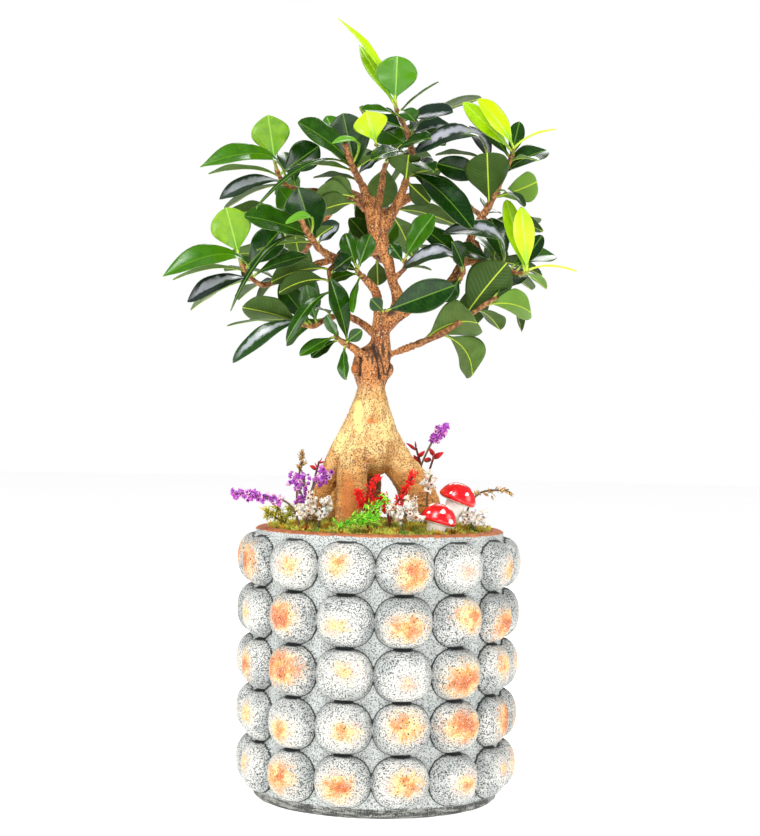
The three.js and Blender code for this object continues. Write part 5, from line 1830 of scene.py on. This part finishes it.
# Roots, trunk and limbs: stations of x, z, depth and radius from the foot of each to its end
ROOTS = {
    "bulb": [[-6.5, 246, 0, 7.6], [-7, 229, 1, 12.8], [-7.5, 213, 1, 18.4], [-7, 203, 1, 20],
        [-5, 192, 3, 8]],
    "left_leg": [[-15, 222, 0, 7], [-21, 209, -2, 8], [-27.5, 196, -3, 7.4], [-36, 180, -4, 6],
        [-41.5, 164, -5, 5], [-45, 146, -6, 3.6]],
    "front_leg": [[-12, 214, -6, 8], [-15, 203, -13, 9], [-17, 190, -18, 9], [-18, 178, -22, 8.8],
        [-19.5, 166, -25, 7.4], [-22, 154, -27, 5.4], [-23, 142, -28, 4]],
    "right_leg": [[1, 218, 1, 8], [9, 201, -2, 9.2], [17, 190, -4, 10.2], [24.5, 180, -5, 9.6],
        [30, 167, -6, 7.8], [34, 146, -7, 5]],
    "back_left_leg": [[-12, 215, 8, 8], [-17, 202, 17, 8], [-22, 188, 24, 7], [-27, 170, 30, 6],
        [-30, 146, 33, 4]],
    "back_right_leg": [[3, 214, 9, 8], [9, 202, 18, 8], [15, 188, 26, 7.4], [20, 170, 31, 6.2],
        [23, 146, 34, 4]],
    "back_middle_leg": [[-7, 210, 4, 7], [-6, 194, 10, 6.4], [-5.5, 172, 14, 5.6], [-6, 146, 16, 4]],
}

TRUNK = {
    "neck": [[-6.5, 236, 0, 8], [-6.5, 243, 0, 8.3], [-6.5, 250, 0, 10.6], [-6, 256, 0, 12.3],
        [-5.3, 261, 0, 11.2], [-3, 266, 0, 8], [-1.6, 272, 0, 5.8], [-2, 280, 0, 5.3], [-1.6, 287, 0, 4.4]],
    "left_burl": [[-12, 254, -4, 5.5], [-15.5, 254.5, -6, 4.4], [-18, 255, -7.5, 2.6]],
    "right_burl": [[-1, 253, -4, 6], [2.5, 254.5, -6, 4.6], [5, 257, -6, 2.8]],
    "main_stem": [[0, 280, 0, 4.6], [5.5, 287, 1, 4.7], [8.5, 294, 1, 4.3], [7.5, 301, 0, 3.7],
        [4.5, 308, 0, 3.1], [2, 319, 0, 3.7], [-2, 330, 0, 5], [-4.5, 338, 0, 6.2], [-5.5, 344, 0, 6]],
    "root_burl": [[-21, 207, -6, 5], [-26, 208, -7, 3.6], [-28.5, 208.5, -7, 2]],
}

LIMBS = {
    "left_fork": [[-3, 283, 0, 3.8], [-3.8, 293, 0, 2.9], [-5, 301, -1, 2.9], [-9, 306, -2, 2.5],
        [-13, 310, -3, 2.1]],
    "left_crown": [[-6, 341, 0, 5.4], [-9, 350, 0, 4.2], [-12, 357, 0, 3.2], [-14, 364, -1, 2.5]],
    "middle_crown": [[-3, 343, -2, 4], [-6, 351, -4, 3], [-9.5, 358, -2, 2.4]],
    "right_crown": [[-1, 341, 0, 4.6], [3.5, 348, 0, 3.2], [7, 355, 0, 2.9], [9.5, 361, 0, 2.7],
        [11, 366, 1, 2.3]],
    "right_limb": [[1, 280, 1, 4.4], [8, 287, 2.5, 4.2], [15, 292, 3, 3.9], [25, 298, 4, 3.5],
        [35, 303, 6, 3.1], [42, 311, 8, 3], [47, 322, 8, 2.8], [51, 334, 5, 2.6], [56, 345, 2, 2.4],
        [61, 353, 0, 2.2]],
    "right_side_limb": [[46, 319, 8, 2.5], [53, 321, 6, 2.2], [60, 321, 3, 1.9]],
    "inner_limb": [[38, 306, 6, 2.4], [43, 308, 1, 2], [45, 310, -3, 1.7]],
    "thin_limb": [[-1, 261, 3, 3.4], [6, 264.5, 3, 2.5], [12, 267, 2.5, 2.3], [17, 269, 2, 2.2]],
    "left_spur": [[-11, 261, -5, 3.6], [-15.5, 265.5, -8, 2.7], [-20, 268.5, -9, 2.4]],
    "low_limb": [[-4, 275, 3, 3], [-13, 282, 9, 2.4], [-23, 287, 9, 2.1]],
    "knot_spur": [[-1, 284, -2, 2.4], [-0.5, 286.5, -6, 1.7]],
    "stem_spur": [[4, 307, -1, 2.2], [8, 311.5, -4, 1.6]],
    "front_spur": [[-11, 350, -2, 2.2], [-14.5, 352, -6, 1.6]],
    "left_limb": [[-1, 328, 2, 3.6], [-10, 325, 8, 3], [-20, 322, 6, 2.7], [-29, 321, -2, 2.5],
        [-36, 324, -14, 2.2]],
    "left_side_limb": [[-28, 321, -1, 2.4], [-41, 317, 3, 2.2], [-53, 312, 1, 1.9]],
    "under_limb": [[-26, 321.5, 1, 2.2], [-30, 317, -6, 1.7]],
    "upper_left_limb": [[-9, 351, 2, 2.9], [-20, 356, 9, 2.5], [-32, 360, 9, 2.1]],
    "trunk_back_spur": [[0, 320, 2, 2.6], [-3, 321, 14, 1.9]],
    "back_left_limb": [[-5, 341, 2, 3.8], [-9, 352, 18, 3], [-22, 360, 32, 2.6], [-36, 358, 42, 2.2],
        [-45, 353, 48, 1.9]],
    "back_low_left_limb": [[-24, 360, 34, 2.4], [-35, 346, 44, 2.1], [-45, 330, 50, 1.9]],
    "back_right_limb": [[-1, 345, 2, 3.4], [10, 356, 17, 2.8], [24, 362, 30, 2.4], [39, 360, 40, 2.1],
        [49, 354, 46, 1.9]],
    "back_low_right_limb": [[35, 361, 38, 2.2], [46, 346, 46, 2], [54, 332, 50, 1.8]],
    "back_top_limb": [[-5, 350, 14, 2.6], [-3, 364, 26, 2.3], [-2, 373, 38, 2]],
    "back_limb": [[-5, 348, 10, 2.6], [0, 350, 30, 2.2], [2, 350, 46, 1.9]],
}

# The sprays, first the fresh ones at the ends of others
SPRAYS = [
    Spray("top_shoot", "top_spray", [[[4, 416, -2, 1.1]]],
        [[0.8, 5, 443, -10, 25, "F", 0.04], [0.6, -31, 465, -6, 9, "FUR", 0.095],
        [0.3, -18, 449, 8, 9, "F", 0.05]], young=True),
    Spray("upper_left_shoot", "upper_left_outer_spray", [[[-67.5, 379, -12, 1]]],
        [[0.8, -72, 406, -20, 23, "F", -0.04]], young=True),
    Spray("left_shoot", "left_outer_spray", [[[-88, 322, -25, 1]]],
        [[0.8, -96, 350, -32, 24, "F", -0.04]], young=True),
    Spray("centre_shoot", "top_spray:1", [[[-7, 389.5, -15, 1]]],
        [[0.8, -13, 410, -20, 21, "F", 0.04]], young=True),
    Spray("upper_right_shoot", "upper_right_spray", [[[76, 389, -8, 1.1]]],
        [[0.8, 54, 418, -18, 15, "FR", 0.08], [0.5, 45, 416, -4, 11, "F", 0.05],
        [0.7, 101, 401, -8, 4.5, "U", 0.12]], young=True),
    Spray("right_shoot", "right_spray", [[[86, 315.5, -11, 1.1]]],
        [[0.8, 81, 354, -20, 13, "F", 0.05], [0.4, 72, 358, 0, 11, "F", 0.03],
        [0.7, 115, 316, -12, 5, "U", 0.12]], young=True),
    Spray("upper_left_inner_spray", "left_crown", [[[-17, 369, -9, 2.1], [-20, 375, -20, 2],
        [-23, 382, -29, 1.9], [-25, 389, -37, 1.7]]],
        [[0.35, -27, 408, -16, 26, "F", -0.1], [0.45, -54, 402, -36, 23, "FU", 0.08],
        [0.6, -33, 390, -40, 8, "UR", 0.5], [0.45, -6, 383, -30, 10, "U", 0.05],
        [0.3, -3, 384, -20, 14, "UF", 0.08], [0.4, -54, 377, -30, 14, "U", 0.06],
        [0.2, -78, 350, -44, 5, "UUF", 0.24], [0.3, -37, 406, 0, 17, "F", 0.05],
        [0.15, -44, 369, -14, 16, "U", 0.08]]),
    Spray("upper_left_outer_spray", "upper_left_limb", [[[-43, 361, 5, 1.8], [-55, 362, 0, 1.6],
        [-62, 366, -5, 1.4], [-66, 373, -9, 1.3]]],
        [[0.72, -112, 374, -24, 19, "UF", 0.27], [0.8, -107, 370, -8, 16, "U", 0.12],
        [0.7, -100, 355, 0, 17, "UF", 0.14], [0.6, -97, 349, 14, 13, "U", 0.1],
        [0.9, -41, 388, -4, 19, "F", 0.05], [0.35, -62, 352, 12, 15, "UF", 0.12],
        [0.5, -62, 384, 20, 16, "U", 0.1]]),
    Spray("left_inner_spray", "left_limb", [[[-40, 327, -23, 2.1], [-44, 332, -32, 2], [-48, 338, -40, 1.9],
        [-51, 344, -46, 1.7]]],
        [[0.35, -53, 363, -22, 26, "F", -0.1], [0.45, -85, 345, -46, 24, "FU", 0.08],
        [0.6, -60, 341, -50, 8, "UR", 0.5], [0.45, -32, 340, -42, 10, "U", 0.05],
        [0.3, -28, 342, -30, 15, "UF", 0.08], [0.4, -77, 325, -42, 14, "U", 0.06],
        [0.2, -92, 288, -54, 5, "UUF", 0.3], [0.3, -64, 362, -8, 17, "F", 0.05]]),
    Spray("left_outer_spray", "left_side_limb", [[[-63, 307, -4, 1.8], [-73, 304, -11, 1.6],
        [-81, 309, -17, 1.4], [-86, 316, -21, 1.3]]],
        [[0.72, -133, 308, -36, 19, "UF", 0.27], [0.8, -127, 306, -20, 16, "U", 0.12],
        [0.65, -118, 293, -12, 17, "UF", 0.14], [0.6, -116, 288, 4, 13, "U", 0.1],
        [0.9, -63, 337, -16, 19, "F", 0.05], [0.7, -46, 322, -24, 13, "FU", 0.08],
        [0.3, -96, 312, 16, 16, "U", 0.1], [0.2, -70, 330, 18, 16, "U", 0.1]]),
    Spray("knot_spray", "knot_spur", [[[1, 290, -9, 1.4]]],
        [[0.9, 42, 306, -26, 19, "F", 0.08], [0.6, -8, 297, -16, 9, "F", 0.05]]),
    Spray("stem_spray", "stem_spur", [[[12, 316, -6, 1.4], [12, 321, -8, 1.2]]],
        [[0.95, 29, 348, -18, 17, "FL", 0.06], [0.45, 28, 315, -10, 8, "U", 0.1],
        [0.7, 3, 330, 6, 9, "F", 0.05]]),
    Spray("front_spray", "front_spur", [[[-17, 355, -9, 1.4], [-18, 358, -11, 1.2]]],
        [[0.9, -43, 357, -22, 20, "UB", 0.12], [0.3, -42, 348, -14, 19, "UB", 0.12],
        [0.6, -37, 366, -26, 17, "UB", 0.1]]),
    Spray("top_spray", "right_crown", [[[13, 375, 4, 2], [14.5, 386, 5, 1.9], [12, 397, 3, 1.7],
        [8, 405, 0, 1.5], [5, 411, -1, 1.3]], [[14, 383, 5, 1.6], [5, 386, -3, 1.4], [-4, 388, -11, 1.2]]],
        [[0.75, 39, 410, -14, 18, "UF", 0.08], [0.85, -16, 410, -16, 12, "UF", 0.06],
        [0.9, 30, 428, 6, 6, "U", 0.06], [0.5, 35, 390, -12, 15, "UF", 0.2],
        [1.5, 26, 394, -20, 16, "FU", 0.06], [0.02, 13, 384, -10, 24, "B", 0.05],
        [0.3, -9, 380, -18, 15, "UF", 0.12], [0.25, 28, 374, -20, 15, "UF", 0.1],
        [0.15, 33, 376, 4, 12, "B", 0.05], [0.1, 46, 360, -8, 11, "UF", 0.1],
        [0.05, 26, 355, -2, 13, "B", 0.05], [0.65, -8, 406, 10, 16, "F", 0.05],
        [0.55, 38, 402, 10, 17, "UF", 0.1], [0.6, 20, 402, 26, 18, "F", 0.06],
        [0.45, -6, 400, 22, 18, "F", 0.06], [0.9, 16, 404, -14, 13, "UF", 0.2],
        [0.12, 52, 340, -16, 20, "UF", 0.14], [0.55, 56, 419, 10, 12, "UUB", 0.1]]),
    Spray("upper_right_spray", "right_limb", [[[66, 363, -1, 2], [70, 373, -3, 1.8], [75, 384, -5, 1.5]],
        [[66, 364, -1, 1.7], [62, 375, 4, 1.5], [59, 384, 6, 1.3]]],
        [[0.05, 60, 386, -28, 27, "B", 0.04], [0.2, 90, 369, -36, 18, "B", 0.12],
        [1.95, 17, 385, -8, 16, "UF", 0.34], [0.3, 83, 354, -20, 9, "U", 0.12],
        [0.9, 91, 382, -20, 11, "U", 0.1], [0.95, 59, 402, 2, 9, "F", 0.05],
        [0.9, 79, 405, 6, 10, "F", 0.05], [1.8, 29, 384, 12, 13, "U", 0.1],
        [1.3, 30, 379, 2, 15, "F", 0.06], [0.6, 96, 388, 14, 17, "UF", 0.12],
        [1.6, 48, 402, 24, 16, "U", 0.1]]),
    Spray("right_spray", "right_side_limb", [[[68, 318, -1, 1.8], [76, 315, -5, 1.5], [83, 314, -9, 1.3]]],
        [[0.4, 34, 337, -18, 17, "UFR", 0.42], [0.9, 97, 305, -20, 10, "U", 0.1],
        [0.8, 94, 337, 2, 10, "F", 0.05], [0.3, 38, 342, 8, 15, "U", 0.1],
        [0.15, 42, 328, -8, 15, "UF", 0.08], [0.5, 63, 347, 10, 15, "UF", 0.08],
        [0.6, 102, 325, 16, 17, "UF", 0.12]]),
    Spray("inner_right_spray", "inner_limb", [[[47, 314, -7, 1.5], [47, 319, -9, 1.3]]],
        [[0.6, 40, 332, -20, 14, "FR", 0.05], [0.3, 11, 315.5, -20, 14, "UF", 0.42],
        [0.8, 20, 341, -10, 15, "UF", 0.1], [0.2, 36, 296, -8, 11, "F", 0.05],
        [0.7, 12, 329, 6, 13, "U", 0.12]]),
    Spray("low_right_spray", "thin_limb", [[[22, 271, 2, 2.1], [35, 277, 0, 1.9], [49, 286.5, -3, 1.7],
        [60, 294.5, -5, 1.4], [67, 299, -6, 1.2]]],
        [[0.22, 56, 284, -18, 27, "UBB", 0.3], [0.58, 73, 320, -16, 28, "BBU", 0.1],
        [0.78, 88, 291, -24, 20, "UBB", 0.24], [0.38, 54, 253, -12, 26, "URBB", 0.32],
        [0.95, 84, 316, 14, 16, "UF", 0.1], [0.7, 70, 280, 14, 16, "U", 0.14]]),
    Spray("left_under_spray", "under_limb", [[[-33, 313, -11, 1.6], [-32, 305, -14, 1.4],
        [-28, 299, -14, 1.2]]],
        [[0.3, -68, 306, -34, 17, "UB", 0.16], [0.6, -63, 300, -28, 17, "UB", 0.16],
        [0.95, -58, 270, -24, 9, "UF", 0.24], [0.4, -20, 322, -20, 12, "FL", 0.04]]),
    Spray("low_left_spray", "low_limb", [[[-33, 285, 5, 1.8], [-42, 280, -1, 1.6], [-50, 281, -5, 1.3]]],
        [[0.95, -85, 290.5, -14, 22, "UB", 0.06], [0.8, -90, 257, -20, 13, "UF", 0.2],
        [0.9, -72, 283, 0, 12, "U", 0.05], [0.6, -47, 305, -6, 13, "F", 0.04],
        [0.7, -63, 305, 2, 14, "F", 0.04], [0.85, -94, 279, 4, 10, "U", 0.08],
        [0.3, -41, 290, -14, 10, "UF", 0.08], [0.4, -58, 268, 16, 16, "UF", 0.14]]),
    Spray("spur_spray", "left_spur", [[[-24, 270.5, -10, 1.8], [-29, 274, -12, 1.5]]],
        [[0.2, -33, 309, -22, 16, "FR", 0.04], [0.7, -43, 261, -14, 11, "UF", 0.1],
        [0.95, -50, 262, -24, 10, "FU", 0.06], [0.3, -22, 248, -18, 10, "FL", 0.06],
        [0.6, -34, 287, -20, 11, "FL", 0.04], [0.35, -13, 278, -18, 8, "F", 0.04]]),
    Spray("fork_spray", "left_fork", [[[-15.5, 312, -4, 1.7], [-17, 315, -4, 1.4]]],
        [[0.5, -31, 318, -6, 11, "UF", 0.1], [0.3, -33, 307, -12, 10, "UF", 0.1],
        [0.2, -18.5, 288.5, -8, 8.5, "FL", 0.05], [0.9, -24, 336, 2, 12, "F", 0.05],
        [0.8, -9, 336, 12, 11, "F", 0.05]]),
    Spray("trunk_back_spray", "trunk_back_spur", [[[-6, 323, 25, 1.7], [-9, 329, 31, 1.4]]],
        [[0.9, -14, 358, 22, 14, "F", 0.05], [0.7, -30, 320, 26, 13, "UF", 0.08],
        [0.5, 6, 343, 24, 13, "F", 0.05], [0.3, -4, 305, 22, 13, "B", 0.05],
        [0.6, -22, 345, 30, 15, "UF", 0.1]]),
]

BACK_SPRAYS = [
    BackSpray("back_left_spray", "back_left_limb", 0.4, [[[-52, 348, 55, 1.7], [-58, 343, 61, 1.5],
        [-63, 338, 66, 1.2]]]),
    BackSpray("back_spray", "back_limb", 1.7, [[[3, 349, 55, 1.6], [3, 348, 63, 1.4], [3, 347, 71, 1.2]]]),
    BackSpray("back_right_spray", "back_right_limb", 2.9, [[[56, 349, 51, 1.6], [62, 344, 56, 1.4],
        [67, 340, 60, 1.2]]]),
    BackSpray("back_top_spray", "back_top_limb", 0.9, [[[-1, 377, 46, 1.6], [0, 379, 54, 1.4],
        [0, 380, 62, 1.2]]]),
    BackSpray("back_low_left_spray", "back_low_left_limb", 3.4, [[[-51, 320, 54, 1.6], [-57, 312, 57, 1.4],
        [-62, 305, 59, 1.2]]]),
    BackSpray("back_low_right_spray", "back_low_right_limb", 5.1, [[[59, 323, 53, 1.6], [63, 315, 56, 1.4],
        [66, 309, 59, 1.2]]]),
]

# The dried sprigs
SPRIGS = [
    Sprig("purple_spray_left", "purple", 0.5, 9, 3.4, 4.4, 65, [[[-47, 151, -31], [-50, 166, -33],
        [-58, 175, -35], [-73, 177, -37], [-88, 179, -39]]]),
    Sprig("purple_bunch", "purple", 0.5, 4, 3.8, 5.4, 70, [[[-43, 151, -26], [-45, 172, -27],
        [-46, 190, -28]], [[-45, 172, -27], [-39, 186, -29], [-33, 192, -30]], [[-45, 174, -27],
        [-52, 189, -26]]]),
    Sprig("white_bunch_left", "white", 0.5, 4, 3.4, 4.6, 72, [[[-37, 151, -40], [-36, 165, -42],
        [-31, 176, -43]], [[-36.4, 164, -42], [-42, 177, -42]], [[-36.4, 163, -41.7], [-49, 170, -45]]]),
    Sprig("seed_sprig_left", "seed", 0.76, 4, 3.8, 3.2, 40, [[[-49, 151, -9], [-50, 180, -9],
        [-47, 203, -9]]]),
    Sprig("red_bud_sprig", "crimson", 0.8, 2, 7, 4, 16, [[[-42, 151, -14], [-41, 180, -16],
        [-37, 199, -16]]]),
    Sprig("red_sprig_left", "red", 0.42, 5, 7, 4.2, 42, [[[-7, 151, -45], [-7, 170, -46], [-3, 190, -47]],
        [[-7, 166, -46], [-13, 180, -47]]]),
    Sprig("red_sprig_middle", "red", 0.4, 6, 7, 4.2, 42, [[[4, 151, -42], [8, 170, -43], [20, 192, -43]],
        [[6.2, 162, -42.6], [2, 178, -39]]]),
    Sprig("green_frond", "frond", 0.25, 8, 10, 2.8, 36, [[[-27, 151, -57], [-23, 161, -58], [-11, 166, -58],
        [3, 177, -57]], [[-22, 162, -58], [-2, 166, -59]]]),
    Sprig("white_bunch_right", "white", 0.5, 4, 3.4, 4.6, 72, [[[16, 151, -52], [13, 164, -53],
        [8, 172, -54]], [[13.2, 163, -53], [18, 176, -53]], [[13.2, 163, -53], [22.5, 168, -54]]]),
    Sprig("white_sprig_right", "white", 0.7, 4, 3.6, 4.4, 60, [[[31, 151, -32], [28, 174, -33],
        [30, 193, -33]]]),
    Sprig("purple_spray_right", "purple", 0.7, 6, 3.6, 4.2, 50, [[[20, 151, 13], [21, 186, 11],
        [30, 211, 5], [38, 221, 1]]]),
    Sprig("red_sprig_right", "crimson", 0.74, 3, 9, 4.6, 32, [[[29, 151, 17], [27, 184, 15], [21, 208, 11]],
        [[26.5, 186, 14.6], [32, 204, 14]]]),
    Sprig("seed_sprig_right", "seed", 0.55, 5, 3.8, 3.8, 50, [[[49, 151, -8], [52, 170, -8], [60, 182, -8],
        [77, 184, -8]]]),
    Sprig("white_tuft_right", "white", 0.5, 3, 3.4, 4.4, 72, [[[55, 151, -27], [56, 162, -28],
        [63, 168, -28]], [[55.8, 161, -28], [52.5, 169, -30]]]),
    Sprig("moss_tuft_left", "moss", 0.4, 4, 4, 4.8, 60, [[[-57, 151, -16], [-58, 162, -17],
        [-62, 172, -18]], [[-57.6, 160, -17], [-53, 171, -17]], [[-58, 162, -17], [-68, 168, -19]]]),
]

TOADSTOOLS = [
    Toadstool("front_toadstool", [34.5, 163, -47], 14, 10.6, 15),
    Toadstool("back_toadstool", [45.5, 176, -27], 21, 11, 27),
]

# Stage, light and camera

@dataclass
class Studio:
    """A plain white floor, white all round, soft light, and the camera at the photograph's viewing angle.

    Attributes:
        floor_radius: How wide the floor is, in metres.
        floor_sides: How many corners it has.
        floor_depth: How thick it is.
        floor_glow: How much light it gives of its own.
        dim: The strength of the white all round as light on the plant.
    """

    floor_radius: float = 6.0
    floor_sides: int = 64
    floor_depth: float = 0.02
    floor_glow: float = 0.75
    dim: float = 0.26

    def floor(self) -> None:
        """A wide flat white disc."""
        material = Shader("white_floor").finish(
            "ffffff", 0.9, Emission_Color=(1, 1, 1, 1), Emission_Strength=self.floor_glow)
        angle = np.arange(self.floor_sides) * 2 * math.pi / self.floor_sides
        ring = np.stack([np.cos(angle), np.sin(angle), np.zeros_like(angle)], axis=-1) * self.floor_radius
        patch = capped_grid(np.stack([ring - [0, 0, self.floor_depth], ring]))
        disc = bpy.data.objects.new("floor", make_mesh("floor", patch))
        disc.data.materials.append(material)
        bpy.context.scene.collection.objects.link(disc)

    def area(self, name: str, place: Sequence[float], aim: Sequence[float], size: float,
             power: float) -> None:
        """Adds a square soft light.

        Args:
            name: Its name.
            place: Where it is.
            aim: The point that it looks at.
            size: How wide it is, in metres.
            power: Its power, in watts.
        """
        lamp = bpy.data.lights.new(name, "AREA")
        lamp.shape, lamp.size, lamp.energy = "SQUARE", size, power
        light = bpy.data.objects.new(name, lamp)
        light.location = place
        x, y, z = np.asarray(aim, float) - np.asarray(place, float)
        light.rotation_euler = (math.pi / 2 + math.atan2(z, math.hypot(x, y)), 0.0, math.atan2(-x, y))
        bpy.context.scene.collection.objects.link(light)

    def world(self) -> None:
        """White all round: full white where the camera sees it, dimmer as light on the plant."""
        world = bpy.data.worlds.new("white")
        bpy.context.scene.world = world
        world.use_nodes = True
        nodes, links = world.node_tree.nodes, world.node_tree.links
        path = nodes.new("ShaderNodeLightPath")
        strength = nodes.new("ShaderNodeMapRange")
        strength.inputs["To Min"].default_value = self.dim
        strength.inputs["To Max"].default_value = 1.0
        links.new(path.outputs["Is Camera Ray"], strength.inputs["Value"])
        background = nodes["Background"]
        background.inputs["Color"].default_value = (1, 1, 1, 1)
        links.new(strength.outputs["Result"], background.inputs["Strength"])

    def camera(self) -> None:
        """The camera that sees the plant as the photograph does."""
        lens = bpy.data.cameras.new("camera")
        lens.lens, lens.sensor_width = CAMERA_LENS, SENSOR
        camera = bpy.data.objects.new("camera", lens)
        camera.location = EYE
        camera.rotation_euler = (math.pi / 2, math.radians(CAMERA_ROLL), 0)
        bpy.context.scene.collection.objects.link(camera)
        bpy.context.scene.camera = camera

    def build(self) -> None:
        """Adds them all."""
        self.camera()
        self.world()
        self.floor()
        for row in LIGHTS:
            self.area(*row)
        view = bpy.context.scene.view_settings
        view.view_transform, view.look = "Standard", "None"


def main() -> None:
    """Builds the plant in its pot, and its stage."""
    logging.basicConfig(level=logging.INFO, format="%(name)s %(message)s")
    for part in (Studio, Pot, Filling, Wood, Foliage, DriedSprigs):
        part().build()
    cap, stalk = Lacquer().cap(), Lacquer().stalk()
    random = np.random.default_rng(SEED + 6)
    for toadstool in TOADSTOOLS:
        toadstool.build(cap, stalk, random)


if __name__ == "__main__":
    main()
